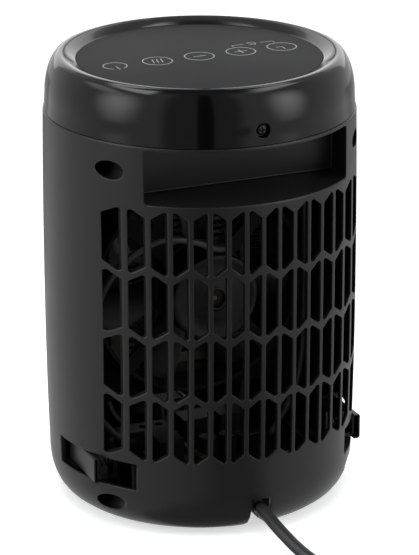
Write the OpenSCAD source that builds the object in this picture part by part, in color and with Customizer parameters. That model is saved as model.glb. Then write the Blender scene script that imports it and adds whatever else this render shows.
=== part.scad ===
// Round ceramic space heater, free-standing. The fan draws air in through the rear grille
// (+Y) and blows it over a ceramic heater core and out of the front grille (-Y).
// Millimetres, +Z up, origin under the centre of the body on the surface that it stands on.

/* [Body] */
// Radius of the body where the cap meets it
body_r = 85; // [82:0.5:90]
// How far the middle of the body swells beyond that radius
swell = 1; // [0.4:0.1:2]
// Wall thickness of the moulded shells
wall = 2.5; // [2:0.1:3]
// Height of the joint between body and cap
joint_h = 220; // [216:1:230]
// Depth (Y) of the plane where front and rear shells meet
seam_y = -22; // [-26:1:-18]
// Radial depth of the rounded bottom edge
edge_in = 17.6; // [15:0.2:19]
// Height of the rounded bottom edge
edge_up = 27.3; // [24:0.1:29]

/* [Cap] */
// Height of the cap from the body joint to its rim
cap_h = 30; // [28:0.5:34]
// How far the highest line of the rim lies inside the body's radius
rim_in = 9.9; // [8:0.1:11]
// How far the edge of the touch panel lies inside that line
panel_in = 8.6; // [8:0.1:11]
// Depth of the touch panel below the rim
panel_drop = 3.3; // [2.8:0.1:4]
// Thickness of the touch panel
panel_t = 2; // [1.6:0.1:2.6]
// Distance between neighbouring touch keys
key_pitch = 24.4; // [20:0.1:25]

/* [Handle recess] */
// Half the width of the handle recess
recess_x = 58; // [50:0.5:60]
// Height of the recess above its lower lip
recess_h = 29; // [24:0.5:29]
// Depth (Y) of the back wall of the recess
recess_back = 45; // [43:0.5:52]

/* [Rear grille] */
// Distance between neighbouring bars
bar_pitch = 9.43; // [9:0.01:9.6]
// Width of a bar
bar_w = 2.5; // [2:0.1:3]
// Height of one row of openings
row_pitch = 35.45; // [34:0.05:36]
// Upright height of the zigzag band between two rows
band_h = 3.7; // [3:0.1:4.5]
// Rise of the zigzag from one bar to the next
zigzag = 7.4; // [6:0.1:8]
// Height of the middle of the grille
grille_z = 115; // [114:0.5:116]

/* [Front outlet] */
// Half the width of the outlet
outlet_x = 50; // [44:0.5:52]
// Height of the outlet
outlet_h = 146; // [130:1:148]
// Distance between neighbouring slats
slat_pitch = 7.3; // [6.5:0.1:9]
// Thickness of a slat
slat_t = 2; // [1.6:0.1:2.4]

/* [Side latches] */
// How far the latch's flat outer face lies inside the body's radius
latch_in = 5; // [4:0.2:6]
// Depth (Y) of the latch's free end
latch_end = 40.7; // [38:0.1:43]
// Height of a latch
latch_h = 14.5; // [12:0.5:15]
// Thickness of a latch
latch_t = 3.5; // [3:0.1:4]
// Height of the lower edge of the latch slots
slot_z = 25.7; // [25:0.1:26.5]
// Radius of the latch pins
latch_pin_r = 1.5; // [1.3:0.1:1.8]

/* [Base] */
// How far the feet stand below the shells
foot_proud = 1.2; // [0.8:0.1:2]
// Radius of a rubber foot
foot_r = 6.5; // [5.5:0.1:7]
// How far the middles of the feet lie inside the edge of the base plate
foot_in = 8.6; // [8:0.1:12]
// How far the edge of the base plate lies inside the body's radius
plate_in = 18.4; // [18.2:0.1:20]
// Width of the cord notch
notch_w = 11; // [10:0.2:13]
// Height of the top of the cord notch
notch_z = 20.7; // [20:0.1:22]

/* [Fan and motor] */
// Radius of the fan blades
fan_r = 58.5; // [54:0.5:59]
// Number of fan blades
blades = 7; // [5:1:9]
// Depth of the fan along its axis
fan_t = 14; // [12:0.5:14.4]
// Pitch angle of the blades
blade_pitch = 38; // [30:1:42]
// Radius of the fan hub
hub_r = 15; // [13:0.5:16]
// Radius of the motor
motor_r = 25; // [24:0.5:27]
// Length of the motor can
motor_l = 21; // [20.5:0.5:24]
// Radius of the motor shaft
shaft_r = 1.5; // [1.4:0.1:1.8]

/* [Heater core] */
// How far the sides of the heater frame lie inside the body's radius
core_side_in = 28; // [27.5:0.5:31]
// Height of the heater frame
core_h = 120; // [112:1:122]
// Depth of the heater frame along Y
core_t = 26; // [22:0.5:28]
// Number of ceramic heating bars
bars = 4; // [3:1:5]
// Distance between neighbouring fins
fin_pitch = 4; // [3.5:0.25:6]

/* [Screws] */
// How far the middles of the shell screws lie inside the body's radius
screw_in = 14.2; // [13.8:0.1:15]
// Distance of the upper shell screws below the body joint
screw_drop = 15; // [13:0.5:16]
// Height of the lower shell screws
screw_low = 15.1; // [14.8:0.1:15.4]
// Radius of the deep holes over the shell screws
well_r = 4.9; // [4.6:0.1:5]
// Radius of a shell screw's shank
screw_r = 2; // [1.7:0.1:2]
// Height of the cap screw above the body joint
cap_screw_up = 8; // [7.5:0.1:8.5]

/* [Cord] */
// Diameter of the mains cord
cord_d = 6.8; // [6:0.1:7.2]
// Height of the cord where it leaves the heater
cord_z = 14.5; // [14:0.1:15]

/* [Hidden] */
$fn = 96;

// Clearances: between parts that only pass each other, parts that seat, fixed pins, running pins.
gap = 0.4;
seat = 0.1;
snug = 0.02;
run = 0.06;
far = 200;

// Places that follow the body's radius.
rim_r = body_r - rim_in;
panel_r = rim_r - panel_in;
latch_x = body_r - latch_in;
plate_r = body_r - plate_in;
foot_ring = plate_r - foot_in;
screw_x = body_r - screw_in;
core_x = body_r - core_side_in;

// Body outline.
base_z = foot_proud;
mid_r = body_r + swell;
low_r = body_r - 0.15;
edge_steps = 8;
edge_power = 2.48;
swell_margin = 31;
edge_top = base_z + edge_up;
swell_low = edge_top + 13.5;
swell_high = joint_h - swell_margin;
over = 1;

// Radius and height of the rounded bottom edge at angle a, for a skin set in by s.
function edge_point(a, s) = [
    low_r - edge_in + (edge_in - s) * pow(cos(a), 2 / edge_power),
    edge_top - (edge_up - s) * pow(sin(a), 2 / edge_power)];

// Half outline of the body, set in by s, closed at height top.
function skin(s, top) = concat(
    [[0, base_z + s]],
    [for (i = [edge_steps : -1 : 0]) edge_point(90 * i / edge_steps, s)],
    [[mid_r - s, swell_low], [mid_r - s, swell_high], [body_r - s, joint_h], [body_r - s, top],
     [0, top]]);

module body_solid(s, top) {
    rotate_extrude($fn = 160) polygon(skin(s, top));
}

// Base flange inside the shells, over the base plate.
flange_in = plate_r - 8.6;
flange_t = 2.7;
flange_z = base_z + wall;
base_gap = 0.3;

module base_flange() {
    rotate_extrude($fn = 128) polygon([
        [flange_in, flange_z - over], [low_r - edge_in + 3, flange_z - over],
        [low_r - edge_in + 9.6, flange_z + flange_t], [flange_in, flange_z + flange_t]]);
}

// Both shells together, before the openings are cut.
module shell_wall() {
    difference() {
        union() {
            difference() {
                body_solid(0, joint_h);
                body_solid(wall, joint_h + over);
            }
            base_flange();
        }
        translate([0, 0, -over]) cylinder(r = plate_r + base_gap, h = flange_z + over);
        for (a = base_screw_angles) {
            rotate(a) translate([base_screw_ring, 0, flange_z - over])
                cylinder(r = small_r + snug, h = flange_t + 2 * over, $fn = 24);
        }
    }
}

// A cylinder along Y from y0 to y1.
module rod_y(x, z, y0, y1, r) {
    translate([x, y1, z]) rotate([90, 0, 0]) cylinder(r = r, h = y1 - y0);
}

// A ring along Y.
module ring_y(x, z, y0, y1, r_out, r_in) {
    difference() {
        rod_y(x, z, y0, y1, r_out);
        rod_y(x, z, y0 - over, y1 + over, r_in);
    }
}

// A flat outline in X and Z, extruded along Y from y0 to y1.
module slab_y(y0, y1) {
    translate([0, y1, 0]) rotate([90, 0, 0]) linear_extrude(y1 - y0) children();
}

// A box from its lowest to its highest corner.
module block(low, high) {
    translate(low) cube(high - low);
}

module both_sides() {
    children();
    mirror([1, 0, 0]) children();
}

// Places of the four shell screws.
screw_top = joint_h - screw_drop;
screw_places = [[screw_x, screw_top], [-screw_x, screw_top], [screw_x, screw_low],
                [-screw_x, screw_low]];
well_wall = 1.4;
well_floor = seam_y + 12;
plate_t = 2;
boss_r = 5;
boss_l = 22;
head_r = 3.8;
head_h = 3;
screw_bite = 13;

// Rear grille: rows of tall six-sided openings, each split by an upright bar.
rows = 4;
bays = 16;
pocket_t = 2;
recess_z = joint_h - pocket_t - recess_h;

// Height of the zigzag between rows at bar k.
function zig_z(row, k) = grille_z + (rows / 2 - row) * row_pitch
    + zigzag / 2 * ((k + row) % 2 == 0 ? -1 : 1);
// Height along the zigzag, a share f of the way from bar k to the next.
function band_z(row, k, f) = zig_z(row, k) * (1 - f) + zig_z(row, k + 1) * f;

module grille_openings() {
    edge_f = bar_w / 2 / bar_pitch;
    for (row = [0 : rows - 1]) for (k = [0 : bays - 1]) {
        x0 = (k - bays / 2) * bar_pitch + bar_w / 2;
        x1 = (k + 1 - bays / 2) * bar_pitch - bar_w / 2;
        polygon([
            [x0, band_z(row, k, edge_f) - band_h / 2],
            [x0, band_z(row + 1, k, edge_f) + band_h / 2],
            [x1, band_z(row + 1, k, 1 - edge_f) + band_h / 2],
            [x1, band_z(row, k, 1 - edge_f) - band_h / 2]]);
    }
}

// Side latch, its slot, pin and spring.
slot_h = latch_h + 2 * gap;
slot_in = latch_x - 18;
slot_front = 3;
latch_z = slot_z + gap;
pivot_x = latch_x - 4.5;
pivot_y = 7.5;
barrel_r = 4;
lug_t = 2.5;
lug_in = pivot_x - 5.5;
post_in = pivot_x - 12.5;
post_t = 2.5;
post_y = [23, 32];
spring_y = 27.5;
ear_y = [34, 37];
ear_out = sqrt(pow(low_r - wall - 0.5, 2) - pow(ear_y[1], 2));
ear_in = ear_out - 2.4;
stop_h = 1.8;
slot_side_y = 50;

module latch_slot() {
    block([slot_in, slot_front, slot_z], [far, far, slot_z + slot_h]);
}

// Lugs that hold the pin, and the post that the spring pushes against.
module latch_mount() {
    intersection() {
        difference() {
            union() {
                block([lug_in, slot_front - 2, slot_z + slot_h],
                      [far, pivot_y + 5.5, slot_z + slot_h + lug_t]);
                block([post_in, slot_front - 2, slot_z - lug_t], [far, post_y[1], slot_z]);
                block([post_in, post_y[0], slot_z - lug_t],
                      [post_in + post_t, post_y[1], slot_z + slot_h]);
                block([slot_in - 2, slot_side_y, slot_z - lug_t],
                      [slot_in, far, slot_z + slot_h + lug_t]);
            }
            translate([pivot_x, pivot_y, slot_z - lug_t - over])
                cylinder(r = latch_pin_r + snug, h = slot_h + 2 * lug_t + 2 * over, $fn = 32);
        }
        body_solid(wall / 2, joint_h - over);
    }
}

// Upright tab behind the cap's rear wall, for the cap screw.
cap_r = body_r - 0.5;
cap_side_r = cap_r - 0.6;
cap_side_in = cap_side_r - wall;
tab_x = 6;
tab_y = [cap_side_in - 7.9, cap_side_in - 2.2];
cap_screw_z = joint_h + cap_screw_up;

module rear_shell() {
    color([0.13, 0.13, 0.13]) difference() {
        union() {
            difference() {
                shell_wall();
                both_sides() latch_slot();
                slab_y(recess_back - 15, far) grille_openings();
                block([-notch_w / 2, notch_y, -over], [notch_w / 2, far, notch_z]);
            }
            both_sides() latch_mount();
            intersection() {
                union() {
                    block([-recess_x - pocket_t, recess_back - pocket_t, recess_z - pocket_t],
                          [recess_x + pocket_t, far, joint_h]);
                    for (p = screw_places) rod_y(p[0], p[1], seam_y, far, well_r + well_wall);
                    for (p = screw_places) {
                        translate([sign(p[0]) * (screw_x + well_r), seam_y, p[1] - 1])
                            mirror([p[0] > 0 ? 0 : 1, 0, 0]) cube([far, 20, 2]);
                    }
                }
                body_solid(0, joint_h);
            }
            block([-tab_x, tab_y[0], joint_h - pocket_t], [tab_x, tab_y[1], cap_screw_z + tab_x]);
        }
        block([-far, -far, -over], [far, seam_y, far * 2]);
        block([-recess_x, recess_back, recess_z], [recess_x, far, joint_h - pocket_t]);
        for (p = screw_places) {
            rod_y(p[0], p[1], well_floor, far, well_r);
            rod_y(p[0], p[1], seam_y - over, far, screw_r + 0.2);
        }
        rod_y(0, cap_screw_z, tab_y[0] - over, tab_y[1] + over, cap_screw_r + snug);
    }
}

// Front shell: outlet opening and the bosses that take the shell screws.
outlet_z = grille_z;
outlet_corner = 12;

module rounded_plate(x, h, z, r) {
    for (sx = [-1, 1]) for (sz = [-1, 1])
        translate([sx * (x - r), z + sz * (h / 2 - r)]) circle(r = r, $fn = 48);
    translate([-x + r, z - h / 2]) square([2 * (x - r), h]);
    translate([-x, z - h / 2 + r]) square([2 * x, h - 2 * r]);
}

module front_shell() {
    color([0.12, 0.12, 0.12]) difference() {
        union() {
            intersection() {
                shell_wall();
                block([-far, -far, 0], [far, seam_y, far * 2]);
            }
            intersection() {
                for (p = screw_places)
                    rod_y(p[0], p[1], seam_y - plate_t - boss_l, seam_y - plate_t - seat, boss_r);
                body_solid(0, joint_h);
            }
        }
        slab_y(-far, -outlet_x / 2) rounded_plate(outlet_x, outlet_h, outlet_z, outlet_corner);
        for (p = screw_places)
            rod_y(p[0], p[1], seam_y - plate_t - screw_bite - 1, seam_y, screw_r + snug);
    }
}

// Front grille: a curved frame behind the shell wall, with slats that fill the outlet.
grille_back = mid_r - wall - gap;
frame_lap = 4;
frame_t = 3;
slat_deep = 8;

module front_tube(r_out, r_in) {
    difference() {
        cylinder(r = r_out, h = far * 2, $fn = 160);
        translate([0, 0, -over]) cylinder(r = r_in, h = far * 2 + 2 * over, $fn = 160);
    }
}

module front_grille() {
    slats = floor((outlet_h - slat_pitch - slat_t) / slat_pitch);
    low = outlet_z - (slats - 1) / 2 * slat_pitch;
    in_x = outlet_x - gap;
    rim = 2.2;
    color([0.1, 0.1, 0.1]) union() {
        intersection() {
            front_tube(grille_back, grille_back - frame_t);
            slab_y(-far, -outlet_x / 2) difference() {
                rounded_plate(outlet_x + frame_lap, outlet_h + frame_lap, outlet_z,
                              outlet_corner + 2);
                rounded_plate(outlet_x - rim, outlet_h - 2 * rim, outlet_z, outlet_corner - rim);
            }
        }
        intersection() {
            front_tube(mid_r - 1, mid_r - wall - slat_deep);
            slab_y(-far, -outlet_x / 2) union() {
                difference() {
                    rounded_plate(in_x, outlet_h - 2 * gap, outlet_z, outlet_corner - gap);
                    rounded_plate(in_x - rim, outlet_h - 2 * rim - 2 * gap, outlet_z,
                                  outlet_corner - gap - rim);
                }
                for (i = [0 : slats - 1]) {
                    z = low + i * slat_pitch;
                    side = max(0, abs(z - outlet_z) + slat_t / 2 - outlet_h / 2 + outlet_corner);
                    x = in_x - 1 - outlet_corner + sqrt(pow(outlet_corner, 2) - pow(side, 2));
                    translate([-x, z - slat_t / 2]) square([2 * x, slat_t]);
                }
                for (x = [-in_x / 2, 0, in_x / 2])
                    translate([x - slat_t / 2, outlet_z - outlet_h / 2 + 1])
                        square([slat_t, outlet_h - 2]);
            }
        }
    }
}

// Cap: a domed ring that carries the touch panel, held by one screw at the rear.
overall_h = joint_h + cap_h;
cap_side_z = joint_h + cap_screw_up + 0.5;
cap_power = 1.88;
cap_steps = 8;
cap_low = joint_h + 2 * seat;
panel_z = overall_h - panel_drop;
ledge_z = panel_z - panel_t;
ledge_r = panel_r - 4.5;
ledge_t = 2;
skirt_r = body_r - wall - gap;
skirt_t = 2.2;
skirt_h = 6;
cap_screw_r = 1.5;
cap_head_r = 3;

// Rounded shoulder of the cap at angle a, set in by s.
function shoulder(a, s) = [
    rim_r - s / 4 + (cap_side_r - rim_r - s * 0.75) * pow(cos(a), 2 / cap_power),
    cap_side_z + (overall_h - cap_side_z - s) * pow(sin(a), 2 / cap_power)];

module top_cap() {
    edge = panel_r + gap;
    head_y = cap_side_in - 0.9;
    color([0.05, 0.05, 0.05]) difference() {
        union() {
            difference() {
                rotate_extrude($fn = 160) polygon(concat(
                    [[skirt_r, joint_h - skirt_h], [skirt_r, cap_low], [cap_r, cap_low]],
                    [for (i = [0 : cap_steps]) shoulder(90 * i / cap_steps, 0)],
                    [[edge + 0.6, panel_z + 0.5], [edge, panel_z + 0.2], [edge, ledge_z],
                     [ledge_r, ledge_z], [ledge_r, ledge_z - ledge_t],
                     [edge + 2.4, ledge_z - ledge_t]],
                    [for (i = [cap_steps : -1 : 0]) shoulder(90 * i / cap_steps, wall)],
                    [[skirt_r - skirt_t, cap_low + 2], [skirt_r - skirt_t, joint_h - skirt_h]]));
                block([-recess_x - pocket_t - 1, 0, joint_h - far],
                      [recess_x + pocket_t + 1, far, cap_low]);
                for (p = screw_places)
                    block([p[0] - 8, seam_y - 8, joint_h - far], [p[0] + 8, far, joint_h - 1]);
            }
            intersection() {
                rod_y(0, cap_screw_z, tab_y[1] + 0.3, far, cap_head_r + 2.5);
                cylinder(r = cap_side_r - 0.3, h = overall_h);
            }
            for (a = panel_post_angles) {
                rotate(a) translate([panel_post_ring, 0, board_top + seat])
                    cylinder(r = 3, h = ledge_z - board_top - over, $fn = 32);
            }
        }
        rod_y(0, cap_screw_z, head_y, far, cap_head_r + 1);
        rod_y(0, cap_screw_z, 0, far, cap_screw_r + 0.2);
        for (a = panel_post_angles) {
            rotate(a) translate([panel_post_ring, 0, 0])
                cylinder(r = small_r + snug, h = ledge_z - 0.8, $fn = 24);
        }
    }
}

module touch_panel() {
    color([0.2, 0.2, 0.2]) translate([0, 0, ledge_z + seat / 2])
        cylinder(r = panel_r, h = panel_t - seat / 2, $fn = 128);
}

// Touch board under the panel, on posts of the cap, with one contact spring under each key.
keys = 5;
board_t = 1.6;
spring_room = 4.2;
board_top = ledge_z - spring_room;
panel_post_ring = panel_r - 1;
panel_post_angles = [30, 150, 270];
small_r = 1.2;
small_head_r = 2.4;
small_head_h = 1.6;
base_head_h = 1;

module touch_board() {
    color([0.1, 0.35, 0.2]) translate([0, 0, board_top - board_t]) difference() {
        cylinder(r = panel_r + 2.5, h = board_t);
        for (a = panel_post_angles)
            rotate(a) translate([panel_post_ring, 0, -over])
                cylinder(r = small_r + 0.2, h = board_t + 2 * over, $fn = 24);
    }
}

module touch_springs() {
    color("silver") for (i = [0 : keys - 1]) {
        translate([(i - (keys - 1) / 2) * key_pitch, 0, board_top + seat]) difference() {
            cylinder(r = 3, h = spring_room - 2 * seat, $fn = 32);
            translate([0, 0, -over]) cylinder(r = 2.2, h = spring_room + 2 * over, $fn = 32);
        }
    }
}

// A screw along +Z: its head below z = 0, its shank above.
module screw(r, h, hr, hh) {
    translate([0, 0, -hh]) difference() {
        cylinder(r = hr, h = hh, $fn = 40);
        for (a = [0, 90]) rotate(a) translate([-hr / 2, -hr / 9, -over])
            cube([hr, hr / 4.5, hh * 0.5 + over]);
    }
    cylinder(r = r, h = h, $fn = 32);
}

module panel_screws() {
    color("silver") for (a = panel_post_angles)
        rotate(a) translate([panel_post_ring, 0, board_top - board_t - seat])
            screw(small_r, spring_room + 0.6, small_head_r, small_head_h);
}

// Base plate, feet and the screws from below.
base_screw_angles = [30, 150, 210, 330];
base_screw_ring = (flange_in + plate_r) / 2;
plate_top = flange_z - seat;
foot_angles = [45, 135, 225, 315];
foot_seat = 1.2;
board_z = plate_top + 12;
board_x = flange_in - 10;
board_y = [-36, 33];
board_posts = [for (x = [board_x - 6, 6 - board_x]) for (y = [28, -30]) [x, y]];
board_post_r = 3.5;
saddle_y = [43, 53];
saddle_x = 14;
notch_y = saddle_y[1] + 1;
relief_r = cord_d / 2 + 1.6;
clamp_screw_x = 10;

module base_plate() {
    color([0.11, 0.11, 0.11]) difference() {
        union() {
            translate([0, 0, base_z]) cylinder(r = plate_r, h = plate_top - base_z, $fn = 128);
            for (p = board_posts)
                translate([p[0], p[1], plate_top - 0.5])
                    cylinder(r = board_post_r, h = board_z - plate_top + 0.5 - seat, $fn = 32);
            block([-saddle_x, saddle_y[0], plate_top - 0.5], [saddle_x, saddle_y[1], cord_z - 0.5]);
        }
        for (a = foot_angles)
            rotate(a) translate([foot_ring, 0, -over])
                cylinder(r = foot_r + seat, h = base_z + foot_seat + over, $fn = 48);
        for (a = base_screw_angles) rotate(a) translate([base_screw_ring, 0, -over]) {
            cylinder(r = small_r + 0.2, h = far, $fn = 24);
            cylinder(r = small_head_r + 0.3, h = base_z + base_head_h + 0.2 + over, $fn = 32);
        }
        for (p = board_posts) translate([p[0], p[1], plate_top + 2])
            cylinder(r = small_r + snug, h = far, $fn = 24);
        for (s = [-1, 1]) translate([s * clamp_screw_x, (saddle_y[0] + saddle_y[1]) / 2, base_z + 1])
            cylinder(r = small_r + snug, h = far, $fn = 24);
        rod_y(0, cord_z, saddle_y[0] - over, saddle_y[1] + over, relief_r + seat);
        block([-notch_w / 2, notch_y, -over], [notch_w / 2, far, notch_z]);
        translate([0, tip_y, -over]) cylinder(r = pin_r + run, h = far, $fn = 40);
    }
}

module foot_pads() {
    color([0.06, 0.06, 0.06]) for (a = foot_angles)
        rotate(a) translate([foot_ring, 0, 0]) {
            cylinder(r1 = foot_r - 0.7, r2 = foot_r, h = 0.7, $fn = 48);
            translate([0, 0, 0.7]) cylinder(r = foot_r, h = base_z + foot_seat - 0.7 - seat, $fn = 48);
        }
}

module base_screws() {
    color("silver") for (a = base_screw_angles)
        rotate(a) translate([base_screw_ring, 0, base_z + base_head_h + 0.2 - seat])
            screw(small_r, flange_t + wall - 1, small_head_r, base_head_h);
}

module shell_screws() {
    color("silver") for (p = screw_places)
        translate([p[0], well_floor + seat, p[1]]) rotate([90, 0, 0])
            screw(screw_r, well_floor - seam_y + plate_t + screw_bite, head_r, head_h);
}

module cap_screw() {
    color("silver") translate([0, cap_side_in - 0.9 + seat, cap_screw_z]) rotate([90, 0, 0])
        screw(cap_screw_r, 9, cap_head_r, 2);
}

// Fan shroud: a plate clamped between the shells, with a duct ring and four motor arms.
duct_in = fan_r + 1.8;
duct_t = 2;
duct_back = seam_y + 21;
arm_t = 3;
arm_w = 8;
mount_r = motor_r + 2;
shroud_x = body_r - 11;
board_cut_x = 54;
board_cut_z = 45;
shroud_top = joint_h - 8;
motor_hole_ring = 19;
motor_hole_angles = [90, 210, 330];

module fan_shroud() {
    plate_y = seam_y - plate_t;
    color([0.15, 0.15, 0.15]) difference() {
        union() {
            slab_y(plate_y, seam_y - seat) difference() {
                union() {
                    translate([-shroud_x, 24]) square([2 * shroud_x, shroud_top - 24]);
                    for (s = [-1, 1]) translate([s * (screw_x - 3.4) - 4, screw_low]) square([8, 12]);
                    for (p = screw_places) translate(p) circle(r = boss_r, $fn = 48);
                }
                translate([-board_cut_x, 0]) square([2 * board_cut_x, board_cut_z]);
            }
            ring_y(0, grille_z, plate_y + 1, duct_back, duct_in + duct_t, duct_in);
            rod_y(0, grille_z, duct_back - arm_t, duct_back, mount_r);
            for (a = [45 : 90 : 315]) translate([0, duct_back, grille_z]) rotate([90, a, 0])
                translate([motor_r - 2, -arm_w / 2, 0]) cube([duct_in - motor_r + 3, arm_w, arm_t]);
        }
        rod_y(0, grille_z, -far, duct_back - arm_t - 1, duct_in);
        rod_y(0, grille_z, -far, far, 8);
        for (a = motor_hole_angles) translate([0, 0, grille_z]) rotate([0, -a, 0])
            rod_y(motor_hole_ring, 0, -far, far, small_r + 0.2);
        for (p = screw_places) rod_y(p[0], p[1], -far, far, screw_r + 0.2);
        for (p = core_ears) rod_y(p[0], p[1], -far, far, small_r + snug);
    }
}

// Fan on the motor shaft.
fan_back = duct_back - arm_t - 2;
fan_front = fan_back - fan_t;
shaft_end = fan_front - 3;

module blade() {
    intersection() {
        rod_y(0, 0, fan_front + 0.6, fan_back - 0.6, fan_r);
        translate([0, (fan_front + fan_back) / 2, 0]) rotate([0, 0, blade_pitch])
            translate([-fan_r / 3, -1, hub_r * 0.7]) cube([fan_r / 1.5, 2, fan_r]);
    }
}

module fan_impeller() {
    color([0.2, 0.2, 0.2]) translate([0, 0, grille_z]) difference() {
        union() {
            rod_y(0, 0, fan_front, fan_back, hub_r);
            for (i = [0 : blades - 1]) rotate([0, 360 * i / blades, 0]) blade();
        }
        rod_y(0, 0, -far, far, shaft_r + snug);
    }
}

module fan_clip() {
    color("silver")
        ring_y(0, grille_z, fan_front - 2.1, fan_front - seat, 4, shaft_r + snug);
}

// Motor behind the fan: can, cover, stator, windings, rotor, shaft and two bearings.
can_front = duct_back + seat;
can_back = can_front + motor_l;
can_wall = 1.2;
bearing_r = 5;
bearing_l = 3.5;
stator_y = [can_front + 5, can_back - 4];
rotor_r = 14.6;
cover_t = 2;

module motor_can() {
    color([0.45, 0.46, 0.48]) difference() {
        rod_y(0, grille_z, can_front, can_back, motor_r);
        rod_y(0, grille_z, can_front + can_wall, far, motor_r - can_wall);
        rod_y(0, grille_z, -far, far, bearing_r + snug);
        for (a = motor_hole_angles) translate([0, 0, grille_z]) rotate([0, -a, 0])
            rod_y(motor_hole_ring, 0, -far, far, small_r + snug);
    }
}

module motor_cover() {
    seat_y = can_back + cover_t - 0.8;
    color([0.3, 0.3, 0.31]) difference() {
        union() {
            rod_y(0, grille_z, can_back + seat, can_back + cover_t, motor_r);
            rod_y(0, grille_z, can_back - 1, can_back + cover_t, motor_r - can_wall - 0.1);
            rod_y(0, grille_z, seat_y - bearing_l, can_back + cover_t + 1, bearing_r + 2);
        }
        rod_y(0, grille_z, 0, seat_y, bearing_r + snug);
    }
}

module motor_bearings() {
    seat_y = can_back + cover_t - 0.8;
    color("goldenrod") {
        ring_y(0, grille_z, can_front, can_front + bearing_l, bearing_r, shaft_r + run);
        ring_y(0, grille_z, seat_y - bearing_l, seat_y - seat, bearing_r, shaft_r + run);
    }
}

module motor_stator() {
    color([0.5, 0.5, 0.52]) ring_y(0, grille_z, stator_y[0], stator_y[1],
                                   motor_r - can_wall - seat, rotor_r + 0.5);
}

module motor_windings() {
    color([0.7, 0.35, 0.15]) {
        ring_y(0, grille_z, stator_y[0] - 3, stator_y[0] - seat, motor_r - 3, rotor_r + 1);
        ring_y(0, grille_z, stator_y[1] + seat, stator_y[1] + 2.6, motor_r - 3, rotor_r + 1);
    }
}

module motor_rotor() {
    color([0.4, 0.4, 0.42])
        ring_y(0, grille_z, stator_y[0], stator_y[1], rotor_r, shaft_r + snug);
}

module motor_shaft() {
    color("silver") rod_y(0, grille_z, shaft_end, can_back + cover_t - 1.2, shaft_r);
}

module motor_screws() {
    color("silver") for (a = motor_hole_angles) translate([0, 0, grille_z]) rotate([0, -a, 0])
        translate([motor_hole_ring, duct_back - arm_t - seat, 0]) rotate([-90, 0, 0])
            screw(small_r, arm_t + can_wall + seat, small_head_r, small_head_h);
}

// Heater core in front of the shroud: frame, ceramic bars between fins, electrode straps.
core_back = seam_y - plate_t - seat;
core_front = core_back - core_t;
core_wall = 4;
core_in_x = core_x - core_wall;
core_in_h = core_h - 2 * core_wall;
core_low = grille_z - core_h / 2;
core_ears = [for (sx = [-1, 1]) for (sz = [-1, 1]) [sx * (core_x - 8), grille_z + sz * (core_h / 2 + 4)]];
bar_t = 6;
bar_deep = 18;
fin_t = 0.8;
cell = 2 * core_in_x / bars;

module heater_frame() {
    color([0.16, 0.15, 0.14]) difference() {
        union() {
            slab_y(core_front, core_back) difference() {
                translate([-core_x, grille_z - core_h / 2]) square([2 * core_x, core_h]);
                translate([-core_in_x, grille_z - core_in_h / 2]) square([2 * core_in_x, core_in_h]);
            }
            slab_y(core_back - 3, core_back) for (p = core_ears) {
                translate(p) circle(r = 4, $fn = 40);
                translate([p[0] - 4, min(p[1], grille_z + sign(p[1] - grille_z) * core_h / 2)])
                    square([8, 4]);
            }
        }
        for (p = core_ears) rod_y(p[0], p[1], -far, far, small_r + 0.2);
    }
}

module ceramic_bars() {
    color([0.85, 0.83, 0.78]) for (i = [0 : bars - 1])
        block([(i - (bars - 1) / 2) * cell - bar_t / 2, core_front + 4,
               grille_z - core_in_h / 2 + seat],
              [(i - (bars - 1) / 2) * cell + bar_t / 2, core_front + 4 + bar_deep,
               grille_z + core_in_h / 2 - seat]);
}

// Fin strips on both sides of each bar.
module heater_fins() {
    fins = floor((core_in_h - 6) / fin_pitch);
    reach = (cell - bar_t) / 2 - seat;
    color([0.75, 0.76, 0.78]) for (i = [0 : bars - 1]) for (s = [-1, 1]) {
        x0 = (i - (bars - 1) / 2) * cell + s * (bar_t / 2 + seat / 2);
        x1 = x0 + s * (reach - seat);
        slab_y(core_front + 4, core_front + 4 + bar_deep) {
            translate([min(x0, x0 + s), grille_z - core_in_h / 2 + 2])
                square([1, core_in_h - 4]);
            for (k = [0 : fins - 1])
                translate([min(x0, x1), grille_z + (k - (fins - 1) / 2) * fin_pitch - fin_t / 2])
                    square([reach - seat, fin_t]);
        }
    }
}

// Strap that joins the ends of the bars, behind the core, with a tab for its lead.
strap_y = [core_front + 4 + bar_deep + seat, core_front + 5 + bar_deep];

module electrode_straps() {
    color("silver") for (s = [-1, 1]) {
        z = grille_z + s * (core_in_h / 2 - 4);
        block([-cell * (bars - 1) / 2 - bar_t / 2, strap_y[0], z - 3],
              [cell * (bars - 1) / 2 + bar_t / 2, strap_y[1], z + 3]);
    }
}

module core_screws() {
    color("silver") for (p = core_ears)
        translate([p[0], core_back - 3 - seat, p[1]]) rotate([-90, 0, 0])
            screw(small_r, 3 + plate_t, small_head_r, small_head_h);
}

// Over-temperature thermostat on top of the heater frame, and the one-shot fuse beside it.
frame_top = grille_z + core_h / 2;

module thermostat() {
    color([0.75, 0.7, 0.62]) translate([0, core_front + 10, frame_top + seat]) {
        cylinder(r = 8, h = 4, $fn = 48);
        translate([0, 0, 4]) cylinder(r = 6.5, h = 5, $fn = 48);
        block([-12, -3, 0], [12, 3, 0.8]);
    }
}

module thermal_fuse() {
    color([0.8, 0.8, 0.78]) translate([14, core_front + 10, frame_top + 2 + seat])
        rotate([0, 90, 0]) {
            cylinder(r = 2, h = 11, $fn = 32);
            translate([0, 0, -1.6]) cylinder(r = 0.6, h = 14.2, $fn = 16);
        }
}

// Power board over the base plate, and what it carries.
board_top_z = board_z + board_t;
part_z = board_top_z + seat;
relay_size = [19, 15.5, 15.3];
relay_y = -22;
relay_xs = [-34, -12];
trafo_at = [17, 4];
trafo_size = [21, 20, 18.9];
trafo_base = 5;
cap_can_r = 5;
cap_can_h = 16;
cap_can_at = [[-8, 20], [4, 20]];
block_at = [14, -22];
block_size = [30, 12, 11.9];
block_pitch = 10;

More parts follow.
